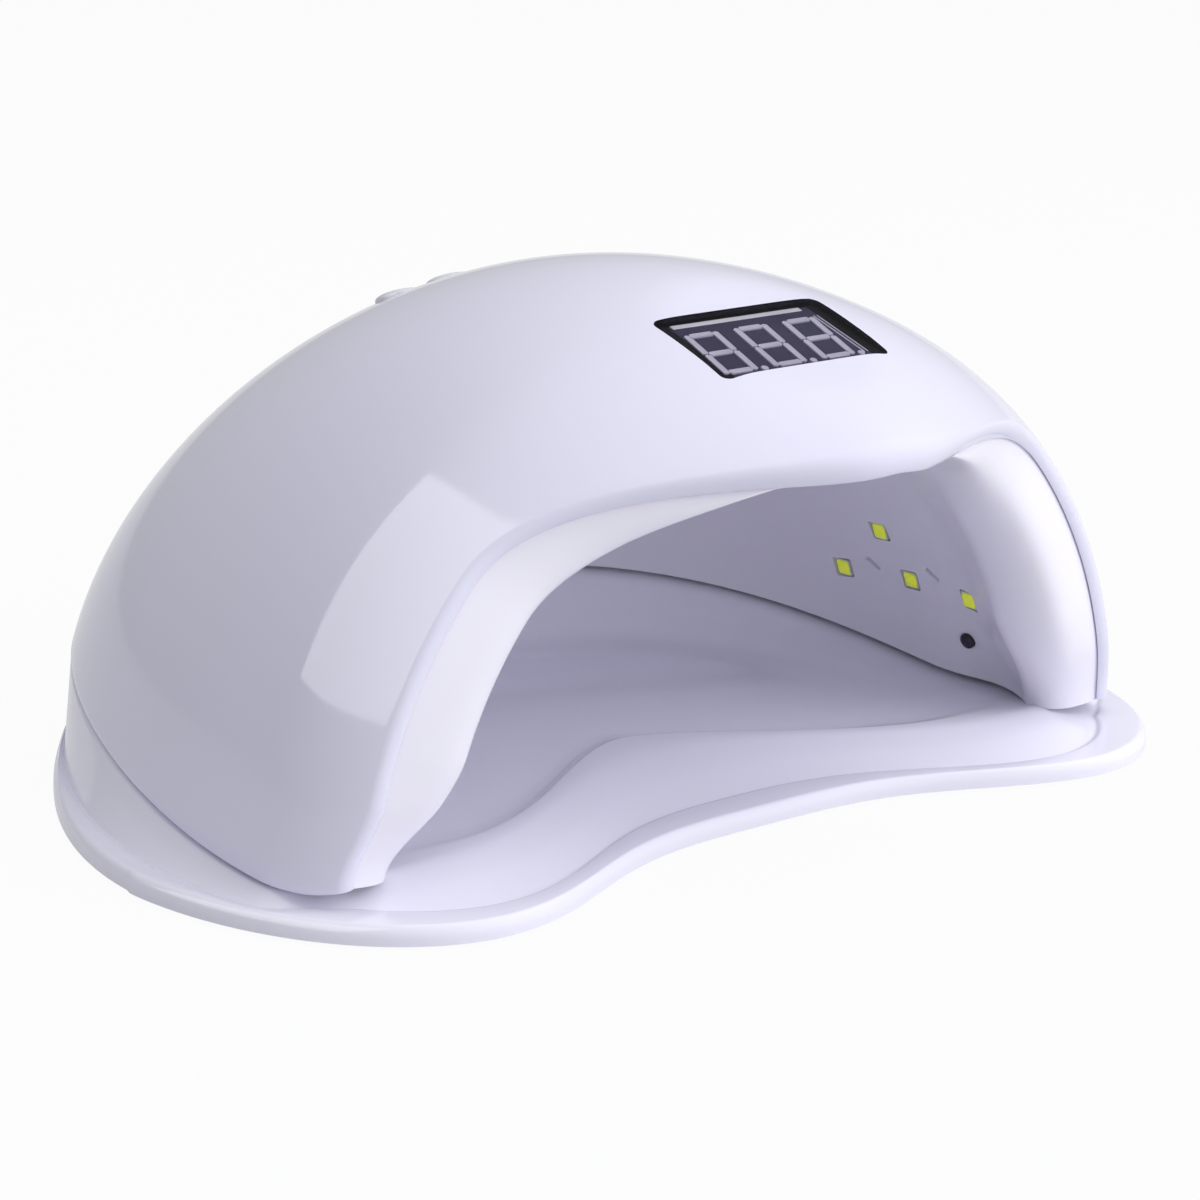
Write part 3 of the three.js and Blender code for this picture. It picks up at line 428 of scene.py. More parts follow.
def shell_rows():
    rows = []
    for angle in LIP_ANGLES:
        rows.append(EDGE + (FORWARD * np.sin(angle) - OUT * (1 - np.cos(angle))) * BULGE)
    start = front_y(ACROSS)
    for share in quarter(DOME_STEPS):
        rows.append(flattened(dome_point(ACROSS, start + (SHELL_REAR_Y - start) * share)))
    return np.array(rows)


ABOVE_FOOT = smooth(np.minimum(ACROSS, 1 - ACROSS) / FOOT_FLARE_SHARE)


def foot_flare(points, start):
    """Opens the tunnel a little at the foot of its front frame."""
    near = 1 - smooth((points[:, 1] - start) / FOOT_FLARE_RUN)
    points[:, 0] *= 1 + FOOT_FLARE * (1 - ABOVE_FOOT) * near
    return points


def liner_rows():
    """The front frame, from the seam with the shell inward, and then the tunnel."""
    open_side = (1 - visor_share(ACROSS))[:, None]
    seam = EDGE + FORWARD * (BULGE - SEAM_STEP) * open_side - OUT * (BULGE + SEAM_GAP)
    depth = FLARE_DEPTH + (LEG_FLARE_DEPTH - FLARE_DEPTH) * open_side[:, 0] ** 2
    bulge = FLARE_FORWARD * open_side[:, 0] ** 2 * ABOVE_FOOT
    start = seam[:, 1] + depth
    goal = foot_flare(tunnel_point(ACROSS, start), start)
    rows = []
    for share in np.linspace(0, 1, FLARE_STEPS + 1)[:-1]:
        angle = np.pi / 2 * share ** FLARE_CROWDING
        inward = np.sin(angle) ** (2 / FLARE_POWER)
        back = 1 - np.cos(angle) ** (2 / FLARE_POWER)
        row = seam + (goal - seam) * inward
        row[:, 1] = seam[:, 1] + depth * back - bulge * inward * (1 - inward ** FLARE_FADE_POWER)
        rows.append(row)
    for share in quarter(TUNNEL_STEPS):
        y = start + (LINER_REAR_Y - start) * share
        rows.append(foot_flare(tunnel_point(ACROSS, y), start))
    return np.array(rows)


# Modelling


def deselect():
    for each in bpy.context.selected_objects:
        each.select_set(False)


def take(piece):
    deselect()
    piece.select_set(True)
    bpy.context.view_layer.objects.active = piece


def named(name):
    piece = bpy.context.object
    piece.name = name
    piece.data.name = name
    return piece


def edit(piece, *steps):
    """Runs steps on a piece's mesh, with all of it selected."""
    take(piece)
    bpy.ops.object.mode_set(mode="EDIT")
    bpy.ops.mesh.select_all(action="SELECT")
    for step in steps:
        step()
    bpy.ops.object.mode_set(mode="OBJECT")


def select_all():
    bpy.ops.mesh.select_all(action="SELECT")


def merge_points():
    bpy.ops.mesh.remove_doubles(threshold=MERGE_GAP * MM)


def turn_out():
    bpy.ops.mesh.normals_make_consistent(inside=False)


def modify(piece, kind, **settings):
    take(piece)
    modifier = piece.modifiers.new(kind.title(), kind)
    for key, value in settings.items():
        setattr(modifier, key, value)
    bpy.ops.object.modifier_apply(modifier=modifier.name)


def sheet(name, rows):
    """A sheet of quads whose points are given row by row."""
    deep, wide = rows.shape[:2]
    deselect()
    bpy.ops.mesh.primitive_grid_add(x_subdivisions=wide - 1, y_subdivisions=deep - 1, size=MM)
    piece = named(name)
    piece.data.vertices.foreach_set("co", place(rows).ravel())
    piece.data.update()
    edit(piece, merge_points)
    return piece


def smooth_shade(piece, angle=40):
    take(piece)
    bpy.ops.object.shade_smooth_by_angle(angle=math.radians(angle))


def soften(piece, width, segments=3, angle=35):
    modify(piece, "BEVEL", width=width * MM, segments=segments, limit_method="ANGLE",
           angle_limit=math.radians(angle), harden_normals=False)


def set_in(piece, matrix):
    """Moves a piece modelled at the origin, in millimetres, to its place on the lamp."""
    moved = matrix.copy()
    moved.translation = (matrix.translation + Vector((0, SHIFT_Y, 0))) * MM
    piece.data.transform(moved)
    return piece


def block(name, width, length, height, low=0.0, at=(0, 0)):
    deselect()
    middle = (at[0] * MM, at[1] * MM, (low + height / 2) * MM)
    bpy.ops.mesh.primitive_cube_add(size=MM, location=middle)
    piece = named(name)
    piece.scale = (width, length, height)
    bpy.ops.object.transform_apply(location=True, rotation=True, scale=True)
    return piece


def draw_up(height):
    bpy.ops.mesh.extrude_region_move(TRANSFORM_OT_translate={"value": (0, 0, height * MM)})


def turned(name, profile, sides=64, at=(0, 0)):
    """A round piece: a circle at the first radius, drawn up and resized through the rest."""
    radius, height = profile[0]
    deselect()
    bpy.ops.mesh.primitive_circle_add(vertices=sides, radius=radius * MM, fill_type="NGON",
                                      location=(at[0] * MM, at[1] * MM, height * MM))
    piece = named(name)
    bpy.ops.object.transform_apply(location=True)
    sizes = zip(profile, profile[1:])

    def draw_through():
        for (radius, height), (next_radius, next_height) in sizes:
            draw_up(next_height - height)
            share = next_radius / radius
            bpy.ops.transform.resize(value=(share, share, 1),
                                     center_override=(at[0] * MM, at[1] * MM, 0))

    edit(piece, draw_through, select_all, turn_out)
    return piece


def topped(curve, top):
    """A profile whose heights are given as drops below its top."""
    return [(radius, top - drop) for radius, drop in curve]


def rounded_block(name, width, length, height, corner, low=0.0):
    """A block whose upright edges are rounded."""
    piece = block(name, width, length, height, low)
    take(piece)
    bpy.ops.object.mode_set(mode="EDIT")
    bpy.ops.mesh.select_mode(type="EDGE")
    bpy.ops.mesh.select_all(action="DESELECT")
    bpy.ops.object.mode_set(mode="OBJECT")
    points = piece.data.vertices
    for edge in piece.data.edges:
        a, b = (points[i].co for i in edge.vertices)
        edge.select = abs(a.z - b.z) > height * MM / 2
    bpy.ops.object.mode_set(mode="EDIT")
    bpy.ops.mesh.bevel(offset=corner * MM, segments=6)
    bpy.ops.object.mode_set(mode="OBJECT")
    return piece


def joined(name, pieces):
    deselect()
    for each in pieces:
        each.select_set(True)
    bpy.context.view_layer.objects.active = pieces[0]
    if len(pieces) > 1:
        bpy.ops.object.join()
    return named(name)


def duplicate(piece, name):
    copy = piece.copy()
    copy.data = piece.data.copy()
    copy.name = copy.data.name = name
    bpy.context.collection.objects.link(copy)
    return copy


def combine(piece, tool, operation):
    """Cuts or joins with a tool, which is used up and leaves its material on the cut."""
    modify(piece, "BOOLEAN", object=tool, operation=operation, solver="EXACT",
           material_mode="TRANSFER")
    bpy.data.objects.remove(tool)


def made_of(piece, material):
    piece.data.materials.append(material)
    return piece


def shift(piece, offset):
    """Moves a piece's mesh by a number of millimetres."""
    piece.data.transform(Matrix.Translation(Vector(offset) * MM))
    return piece


def rays_matrix(origin, x_axis, y_axis, z_axis):
    matrix = Matrix((x_axis, y_axis, z_axis)).transposed().to_4x4()
    matrix.translation = origin
    return matrix


def slope_frame(origin, tilt):
    return Matrix.Translation(origin) @ Matrix.Rotation(tilt, 4, "X")


# Finishes


class Wire:
    """A shader value that adds and scales like a number."""

    def __init__(self, maker, socket):
        self.maker = maker
        self.socket = socket

    def math(self, operation, other):
        return self.maker.node("ShaderNodeMath", {"operation": operation}, {0: self, 1: other})

    def __add__(self, other):
        return self.math("ADD", other)

    def __mul__(self, other):
        return self.math("MULTIPLY", other)

    __radd__ = __add__
    __rmul__ = __mul__


class Finish:
    """A material whose nodes are made by one method."""

    def __init__(self, name, **constants):
        self.material = bpy.data.materials.new(name)
        self.material.use_nodes = True
        self.tree = self.material.node_tree
        self.surface = self.tree.nodes["Principled BSDF"]
        self.here = self.node("ShaderNodeTexCoord", {}, {}, "Object")
        self.feed(**constants)

    def connect(self, value, socket):
        if isinstance(value, Wire):
            self.tree.links.new(value.socket, socket)
        else:
            socket.default_value = value

    def node(self, kind, settings, inputs, output=0):
        made = self.tree.nodes.new(kind)
        for key, value in settings.items():
            setattr(made, key, value)
        for key, value in inputs.items():
            self.connect(value, made.inputs[key])
        return Wire(self, made.outputs[output])

    def feed(self, **inputs):
        """Sets inputs of the surface, such as Base_Color, to values or wires."""
        for key, value in inputs.items():
            socket = key.replace("_", " ").replace("Ior", "IOR")
            self.connect(value, self.surface.inputs[socket])

    def noise(self, scale, detail=2.0, roughness=0.5):
        settings = {"Vector": self.here, "Scale": scale, "Detail": detail, "Roughness": roughness}
        return self.node("ShaderNodeTexNoise", {}, settings, "Fac")

    def between(self, value, low, high, out_low=0.0, out_high=1.0):
        return self.node("ShaderNodeMapRange", {"clamp": True},
                         {"Value": value, "From Min": low, "From Max": high,
                          "To Min": out_low, "To Max": out_high})

    def blend(self, share, first, second):
        return self.node("ShaderNodeMix", {"data_type": "RGBA"},
                         {"Factor": share, 6: coloured(first), 7: coloured(second)}, 2)

    def relief(self, height, distance, strength=1.0):
        return self.node("ShaderNodeBump", {},
                         {"Height": height, "Distance": distance, "Strength": strength}, "Normal")


def coloured(value):
    return value if isinstance(value, Wire) else (*value, 1)


def moulded(name, light, dark, roughness, grain=0.0, grain_scale=2600, wave=0.00001):
    """Moulded plastic: slow colour drift, handling marks in the gloss, and a faint flow wave."""
    finish = Finish(name, Specular_Ior_Level=0.5, Ior=1.46)
    drift = finish.noise(14, 3)
    handling = finish.between(finish.noise(46, 5, 0.62), 0.42, 0.78)
    dust = finish.between(finish.noise(900, 2), 0.55, 0.8)
    flow = finish.noise(42, 1) * wave
    height = flow + finish.noise(grain_scale, 2) * grain
    finish.feed(
        Base_Color=finish.blend(finish.between(drift, 0.3, 0.7), light, dark),
        Roughness=roughness + handling * 0.05 + dust * 0.02,
        Normal=finish.relief(height, 1.0))
    return finish.material


def smoked_lens():
    finish = Finish("smoked_lens", Roughness=0.04, Ior=1.49)
    marks = finish.between(finish.noise(160, 6, 0.6), 0.5, 0.8)
    tint = finish.noise(20, 1)
    finish.feed(Base_Color=finish.blend(tint, (0.004, 0.004, 0.006), (0.009, 0.009, 0.013)),
                Roughness=0.035 + marks * 0.05, Alpha=0.13 + marks * 0.02)
    return finish.material


def matt_plastic(name, light, dark, roughness=0.5, grain=0.00002, sheen=0.5):
    finish = Finish(name, Ior=1.47, Specular_Ior_Level=sheen)
    drift = finish.noise(90, 4)
    finish.feed(Base_Color=finish.blend(finish.between(drift, 0.3, 0.7), light, dark),
                Roughness=roughness + finish.noise(320, 3) * 0.12,
                Normal=finish.relief(finish.noise(3200, 2) * grain, 1.0))
    return finish.material


def circuit_board():
    finish = Finish("circuit_board", Ior=1.5)
    lines = finish.node("ShaderNodeTexWave", {"wave_type": "BANDS", "bands_direction": "DIAGONAL"},
                        {"Vector": finish.here, "Scale": 210.0, "Distortion": 3.0, "Detail": 1.0,
                         "Detail Scale": 2.0}, "Fac")
    tracks = finish.between(lines, 0.62, 0.72)
    mottle = finish.noise(240, 3)
    solder_mask = finish.blend(mottle, (0.012, 0.105, 0.042), (0.02, 0.15, 0.062))
    finish.feed(Base_Color=finish.blend(tracks, solder_mask, (0.03, 0.21, 0.09)),
                Roughness=0.32 + mottle * 0.15,
                Normal=finish.relief(tracks * 0.00003, 1.0))
    return finish.material


def plated(name, light, dark, roughness):
    finish = Finish(name, Metallic=1.0)
    turning = finish.noise(700, 2)
    stain = finish.between(finish.noise(120, 4), 0.45, 0.75)
    finish.feed(Base_Color=finish.blend(stain, light, dark),
                Roughness=roughness + turning * 0.08 + stain * 0.08,
                Normal=finish.relief(turning * 0.00001, 1.0))
    return finish.material


def soft_rubber():
    finish = Finish("soft_rubber", Ior=1.5)
    mottle = finish.noise(260, 4)
    finish.feed(Base_Color=finish.blend(mottle, (0.045, 0.045, 0.05), (0.075, 0.075, 0.08)),
                Roughness=0.78 + mottle * 0.12,
                Normal=finish.relief(finish.noise(1800, 3) * 0.00004, 1.0))
    return finish.material


def phosphor_painted_glow():
    finish = Finish("phosphor_painted_glow", Ior=1.42)
    cloud = finish.noise(620, 3)
    patches = finish.between(cloud, 0.35, 0.65)
    finish.feed(Base_Color=finish.blend(patches, (0.66, 0.78, 0.03), (0.80, 0.86, 0.08)),
                # The emission is a painted glow: it lifts the yellow-green coat in the tunnel's
                # shade, though the LEDs are no lamps
                Emission_Color=finish.blend(cloud, (0.50, 0.62, 0.02), (0.66, 0.72, 0.05)),
                Emission_Strength=0.3, Roughness=0.22 + cloud * 0.12,
                Normal=finish.relief(finish.noise(900, 1) * 0.00004, 1.0))
    return finish.material


SHELL_GLOSS = moulded("shell_gloss_white", (0.77, 0.765, 0.915), (0.75, 0.745, 0.90), 0.07)
LINER_GLOSS = moulded("liner_satin_white", (0.88, 0.865, 0.96), (0.865, 0.85, 0.95), 0.2)
BASE_GLOSS = moulded("base_gloss_white", (0.87, 0.86, 0.985), (0.855, 0.845, 0.975), 0.12)
BUTTON_SATIN = moulded("button_satin_white", (0.80, 0.79, 0.88), (0.77, 0.76, 0.86), 0.24,
                       grain=0.00001)
LENS = smoked_lens()
MODULE_GREY = matt_plastic("module_grey", (0.062, 0.055, 0.115), (0.05, 0.044, 0.095),
                           sheen=0.15)
SEGMENT_PALE = matt_plastic("segment_pale", (0.66, 0.62, 0.80), (0.58, 0.55, 0.72))
EDGE_PALE = matt_plastic("edge_pale", (0.84, 0.81, 0.92), (0.76, 0.73, 0.86), 0.45)
# Black of the display's mask sheet, and painted shade on the shell's cut walls round the window and
# under it
BLACK_MASK_AND_PAINTED_SHADE = matt_plastic("black_mask_and_painted_shade", (0.006, 0.005, 0.011), (0.01, 0.009, 0.017), sheen=0.1)
BOARD = circuit_board()
PHOSPHOR_PAINTED_GLOW = phosphor_painted_glow()
LED_CASE = matt_plastic("led_case", (0.72, 0.72, 0.70), (0.64, 0.64, 0.62), 0.4)
EYE_DARK = matt_plastic("eye_dark", (0.018, 0.010, 0.024), (0.03, 0.016, 0.036), 0.1, grain=0.0)
SWITCH_BLACK = matt_plastic("switch_black", (0.018, 0.018, 0.02), (0.03, 0.03, 0.032))
ZINC = plated("zinc", (0.62, 0.62, 0.64), (0.5, 0.5, 0.52), 0.28)
NICKEL = plated("nickel", (0.72, 0.71, 0.70), (0.6, 0.59, 0.57), 0.14)
RUBBER = soft_rubber()


def numbered(stem, count=4):
    return [f"{stem}_{i + 1}" for i in range(count)]


def dress(piece, material, body, node):
    """Gives a piece its finish and ties it to the CAD."""
    if not piece.data.materials:
        piece.data.materials.append(material)
    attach(piece, body)
    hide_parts(node)


def repaint(material, *nodes):
    """Gives nodes of the CAD a finish."""
    for node in nodes:
        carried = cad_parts[node]
        if not carried.material_slots:
            carried.data.materials.append(material)
        for slot in carried.material_slots:
            slot.material = material


# Frames of the window, the buttons and the socket

window_y = WINDOW_FRONT_Y + WINDOW_LENGTH / 2
window_z = float(spine_z(WINDOW_FRONT_Y) + spine_z(WINDOW_REAR_Y)) / 2 - FLAT_DROP
window_frame = slope_frame(Vector((0, window_y, window_z)), math.atan(WINDOW_SLOPE))


def dome_height(x, y):
    rise = float(spine_z(y)) - DOME_ROOT_Z
    share = min(abs(x) / float(dome_half(y)), 1)
    return DOME_ROOT_Z + rise * (1 - share ** DOME_ARCH_POWER) ** (1 / DOME_ARCH_POWER)


module_top = -(LENS_WALL + FIT_GAP / 2 + SEGMENT_HEIGHT)

button_z = float(spine_z(BUTTON_ROW_Y))
button_slope = float(spine_z(BUTTON_ROW_Y + 1) - spine_z(BUTTON_ROW_Y - 1)) / 2
button_frame = slope_frame(Vector((0, BUTTON_ROW_Y, button_z)), math.atan(button_slope))
button_xs = [(i - (BUTTON_COUNT - 1) / 2) * BUTTON_PITCH for i in range(BUTTON_COUNT)]


def button_sag(x):
    return button_z - dome_height(x, BUTTON_ROW_Y)


jack_low, jack_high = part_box("dc_socket")
jack_axis_z = (jack_low.z + jack_high.z) / 2 / MM


def jack_frame(y):
    """Looks out of the rear wall, from the socket's axis."""
    return Matrix.Translation((0, y, jack_axis_z)) @ Matrix.Rotation(-math.pi / 2, 4, "X")


# Housing


def prism(name, grow, low, height, material):
    """A block with the window's outline, set in the window's place."""
    piece = rounded_block(name, WINDOW_WIDTH + 2 * grow, WINDOW_LENGTH + 2 * grow, height,
                          WINDOW_CORNER + grow, low)
    return set_in(made_of(piece, material), window_frame)


def make_shell():
    shell = made_of(sheet("shell_skin", shell_rows()), SHELL_GLOSS)
    modify(shell, "SOLIDIFY", thickness=SHELL_WALL * MM, offset=-1, use_even_offset=False)
    soften(shell, EDGE_BEVEL, 2, 60)
    lens = duplicate(shell, "window_lens")
    combine(lens, prism("window_prism", 0, -LENS_WALL, CUT_PAST, LENS), "INTERSECT")
    lens.data.materials.clear()
    # The window and pocket cutters leave their black on the shell's cut walls: painted shade in the
    # gap round the lens and under the window
    window = prism("window_cutter", FIT_GAP / 3, -WINDOW_CUT_DEPTH, WINDOW_CUT_DEPTH + CUT_PAST,
                   BLACK_MASK_AND_PAINTED_SHADE)
    pocket = prism("window_pocket", POCKET_MARGIN, -POCKET_DEPTH,
                   POCKET_DEPTH - LENS_WALL - FIT_GAP / 2, BLACK_MASK_AND_PAINTED_SHADE)
    cutters = []
    radius = BUTTON_RADIUS + FIT_GAP
    for x in button_xs:
        hole = turned("button_cutter", [(radius, -CUT_PAST), (radius, CUT_PAST)], at=(x, 0))
        cutters.append(set_in(shift(hole, (0, 0, -button_sag(x))), button_frame))
    jack_hole = turned("jack_cutter", [(JACK_HOLE_RADIUS, 0), (JACK_HOLE_RADIUS, JACK_HOLE_LENGTH)])
    cutters.append(set_in(jack_hole, jack_frame(SHELL_REAR_Y - JACK_HOLE_START)))
    holes = made_of(joined("shell_cutters", cutters), SHELL_GLOSS)
    for each in (holes, window, pocket):
        combine(shell, each, "DIFFERENCE")
    for piece in (shell, lens):
        smooth_shade(piece, 38)
    dress(shell, SHELL_GLOSS, "housing", "outer_shell")
    dress(lens, LENS, "housing", "display_window")


# Display


def make_pale_edge_and_glints():
    """The pale back edge of the module behind the digits, and two thin pale strips beside them that
    are painted glints.
    """
    right = MODULE_ASIDE + MODULE_WIDTH / 2
    sizes = [(LEDGE_LENGTH, LEDGE_WIDTH, LEDGE_HEIGHT, MODULE_ASIDE + LEDGE_ASIDE,
              MODULE_LENGTH / 2 - LEDGE_BACK, EDGE_PALE)]
    # Painted glints: thin strips of the pale segment colour along the module's right side
    sizes += [(width, GLINT_LENGTH, GLINT_HEIGHT, right - inset, GLINT_Y, SEGMENT_PALE)
              for width, inset in GLINTS]
    pale_strips = []
    for width, length, height, x, y, material in sizes:
        pale_strip = block("module_pale_strip", width, length, height, module_top - LEDGE_SUNK, (x, y))
        soften(pale_strip, LEDGE_BEVEL, 1)
        pale_strips.append(made_of(pale_strip, material))
    return pale_strips


def make_digits():
    slant = math.tan(math.radians(DIGIT_SLANT))
    lean = Matrix(((1, slant, 0, 0), (0, 1, 0, 0), (0, 0, 1, 0), (0, 0, 0, 1)))
    reach = DIGIT_WIDTH - SEGMENT_WIDTH
    rise = (DIGIT_HEIGHT - SEGMENT_WIDTH) / 2
    bar, post = reach - SEGMENT_WIDTH * BAR_TRIM, rise - SEGMENT_WIDTH * POST_TRIM
    post_y = (rise + SEGMENT_WIDTH * POST_SHIFT) / 2
    places = [(0, level * rise, 0, bar) for level in (-1, 0, 1)]
    places += [(side * reach / 2, level * post_y, 90, post)
               for side in (-1, 1) for level in (-1, 1)]
    dot = Vector((DIGIT_PITCH / 2 - POINT_GAP, -rise - POINT_DROP, 0)) * MM
    dot_profile = [(POINT_RADIUS, -0.1), (POINT_RADIUS, SEGMENT_HEIGHT - SEGMENT_BEVEL),
                   (POINT_RADIUS - SEGMENT_BEVEL, SEGMENT_HEIGHT)]
    pieces = []
    for digit in (-1, 0, 1):
        spot = Vector((digit * DIGIT_PITCH + DIGIT_ASIDE, -DIGIT_FORWARD, module_top))
        middle = Matrix.Translation(spot * MM) @ lean
        for x, y, turn, length in places:
            stroke = make_stroke(length)
            stroke.data.transform(Matrix.Rotation(math.radians(turn), 4, "Z"))
            stroke.data.transform(middle @ Matrix.Translation((x * MM, y * MM, 0)))
            pieces.append(stroke)
        point = made_of(turned("digit_point", dot_profile, 24), SEGMENT_PALE)
        point.data.transform(middle @ Matrix.Translation(dot))
        pieces.append(point)
    return pieces


def make_display():
    mask = block("module_mask", WINDOW_WIDTH + 2 * MASK_MARGIN, WINDOW_LENGTH + 2 * MASK_MARGIN,
                 MASK_WALL, module_top - MASK_DROP - MASK_WALL)
    case = block("module_case", MODULE_WIDTH, MODULE_LENGTH, MODULE_HEIGHT,
                 module_top - MODULE_HEIGHT, (MODULE_ASIDE, 0))
    soften(case, MODULE_BEVEL, 2)
    pieces = [made_of(case, MODULE_GREY), made_of(mask, BLACK_MASK_AND_PAINTED_SHADE), *make_pale_edge_and_glints(), *make_digits()]
    module = set_in(joined("display_face", pieces), window_frame)
    smooth_shade(module, 30)
    dress(module, MODULE_GREY, "housing", "display_module")


def make_stroke(length):
    """One lit stroke with pointed ends and a bevelled rim."""
    half, tip = SEGMENT_WIDTH / 2, length / 2
    deselect()
    bpy.ops.mesh.primitive_circle_add(vertices=6, radius=MM, fill_type="NGON")
    stroke = named("digit_stroke")
    point = tip - half * 0.5
    corners = ((-tip, 0), (-point, -half), (point, -half), (tip, 0), (point, half), (-point, half))
    for vertex, (x, y) in zip(stroke.data.vertices, corners):
        vertex.co = (x * MM, y * MM, 0)

    def raise_middle():
        draw_up(SEGMENT_HEIGHT)
        bpy.ops.mesh.inset(thickness=SEGMENT_INSET * MM, depth=-SEGMENT_BEVEL * MM)

    edit(stroke, turn_out, raise_middle, select_all, turn_out)
    return made_of(stroke, SEGMENT_PALE)


# Buttons


def make_buttons():
    names = ("button_10_seconds", "button_30_seconds", "button_60_seconds", "button_99_seconds")
    for name, x in zip(names, button_xs):
        surface = -button_sag(x)
        fall = button_sag(abs(x) + BUTTON_RADIUS + BUTTON_COLLAR) - button_sag(x)
        shoulder = surface - SHELL_WALL - 2 * FIT_GAP - fall
        top = surface + BUTTON_PROUD
        base = shoulder - BUTTON_COLLAR_WALL
        collar = BUTTON_RADIUS + BUTTON_COLLAR
        profile = [(BUTTON_STEM_RADIUS, shoulder - BUTTON_STEM_LENGTH), (BUTTON_STEM_RADIUS, base),
                   (collar, base), (collar, shoulder), (BUTTON_RADIUS, shoulder),
                   *topped(BUTTON_CURVE, top)]
        cap = set_in(turned(name + "_cap", profile, 72, (x, 0)), button_frame)
        smooth_shade(cap, 32)
        dress(cap, BUTTON_SATIN, name, name)


# Liner with its LEDs


def inside_tunnel(point):
    across = abs(point.x) / float(tunnel_half(point.y))
    up = max(point.z - TUNNEL_ROOT_Z, 0) / (float(ceiling_z(point.y)) - TUNNEL_ROOT_Z)
    return across ** TUNNEL_ARCH_POWER + up ** TUNNEL_ARCH_POWER < 1


def reach_in(point, inward):
    """How far the tunnel's surface lies from a place behind it."""
    return last_place(lambda reach: not inside_tunnel(point + inward * reach),
                      0, TUNNEL_HALF_WIDTH / 2)


def board_frame(side, tilt, y, z, out):
    """A frame behind the tunnel's wall that looks away from it, and the way inward."""
    normal = Vector((side * math.cos(tilt), 0, math.sin(tilt)))
    along = Vector((0, 1, 0))
    sideways = Vector((side, 0, 0)) if side else normal
    start = Vector((0, y, z))
    wall = last_place(lambda reach: inside_tunnel(start + sideways * reach), 0, BASE_WIDTH / 2)
    origin = start + sideways * wall + normal * (LINER_WALL + out)
    return rays_matrix(origin, along, normal.cross(along), normal), -normal


def side_board(side, y=SIDE_BOARD_Y, rise=SIDE_BOARD_RISE, out=SIDE_BOARD_GAP):
    return board_frame(side, math.radians(SIDE_BOARD_TILT), y, TUNNEL_CEILING * rise, out)


def side_spot(side, shares):
    return shares[0] * SIDE_BOARD_LENGTH, -side * shares[1] * SIDE_BOARD_WIDTH


def site(board, spot=(0, 0)):
    """A place on a board, and how far the tunnel's surface lies in front of it."""
    matrix, inward = board
    placed = matrix @ Matrix.Translation((*spot, 0))
    return placed, reach_in(placed.translation, inward)


def led_sites():
    """The place of every LED, by its name."""
    sites = {}
    for word, side in (("left", -1), ("right", 1)):
        for name, shares in zip(numbered("led_" + word), SIDE_LED_SHARES):
            sites[name] = site(side_board(side), side_spot(side, shares))
    roof = float(inner_edge_z(TOP_BOARD_Y))
    board = board_frame(0, math.pi / 2, TOP_BOARD_Y, roof, TOP_BOARD_GAP)
    for name, (a, b) in zip(numbered("led_top", len(TOP_LED_SHARES)), TOP_LED_SHARES):
        sites[name] = site(board, (a * TOP_BOARD_SIDE, b * TOP_BOARD_SIDE))
    return sites


def eye_sites():
    """The place of each of the two sensor eyes, by its name."""
    return {name: site(side_board(side, SENSOR_Y, SENSOR_RISE, SENSOR_DEPTH))
            for name, side in (("sensor_emitter", -1), ("sensor_receiver", 1))}


def make_slits():
    """Cutters for the two slots of each side wall."""
    slits = []
    for side in (-1, 1):
        turn = Matrix.Rotation(side * math.radians(SLOT_TURN), 4, "Z")
        for shares in SLOT_SHARES:
            matrix, height = site(side_board(side), side_spot(side, shares))
            slit = block("slit_cutter", SLOT_LENGTH, SLOT_WIDTH, SLOT_DEPTH + SLOT_PAST,
                         -height - SLOT_PAST)
            slits.append(set_in(slit, matrix @ turn))
    return slits


def make_liner():
    liner = made_of(sheet("liner_skin", liner_rows()), LINER_GLOSS)
    modify(liner, "SOLIDIFY", thickness=LINER_WALL * MM, offset=1, use_even_offset=False)
    cutters = []
    width = LED_SIDE + 2 * FIT_GAP
    for matrix, height in led_sites().values():
        depth = height + LED_HOLE_PAST
        hole = rounded_block("led_cutter", width, width, depth, LED_HOLE_CORNER, -depth)
        cutters.append(set_in(hole, matrix))
    cutters += make_slits()
    radius = SENSOR_BORE + FIT_GAP / 2
    for matrix, height in eye_sites().values():
        hole = turned("eye_cutter", [(radius, -height - LED_HOLE_PAST), (radius, 0)], 48)
        cutters.append(set_in(hole, matrix))
    combine(liner, made_of(joined("liner_cutters", cutters), LINER_GLOSS), "DIFFERENCE")
    smooth_shade(liner, 38)
    whole = joined("liner_skin", [liner, make_rim()])
    dress(whole, LINER_GLOSS, "housing", "inner_liner")


def make_leds():
    width = LED_SIDE - 2 * PHOSPHOR_MARGIN
    for name, (matrix, height) in led_sites().items():
        low = -height + FIT_GAP / 3
        case = rounded_block(name + "_chip", LED_SIDE, LED_SIDE, height - LED_SUNK, LED_CORNER, low)
        # The yellow-green top of each chip carries a painted glow from its emitting finish
        lit = rounded_block(name + "_phosphor", width, width, PHOSPHOR_HEIGHT, PHOSPHOR_CORNER,
                            low - PHOSPHOR_PROUD)
        soften(lit, PHOSPHOR_BEVEL, 2)
        chip = joined(name + "_chip", [made_of(case, LED_CASE), made_of(lit, PHOSPHOR_PAINTED_GLOW)])
        smooth_shade(set_in(chip, matrix), 35)
        dress(chip, LED_CASE, "housing", name)


def make_eyes():
    for name, (matrix, height) in eye_sites().items():
        profile = [(SENSOR_RADIUS, -1), (SENSOR_RADIUS, SENSOR_DOME_HEIGHT - height),
                   *[(radius, drop - height) for radius, drop in SENSOR_DOME]]
        eye = set_in(turned(name + "_eye", profile, 48), matrix)
        smooth_shade(eye)
        dress(eye, EYE_DARK, "housing", name)


# Lower edges in plan, seen from the tray's middle


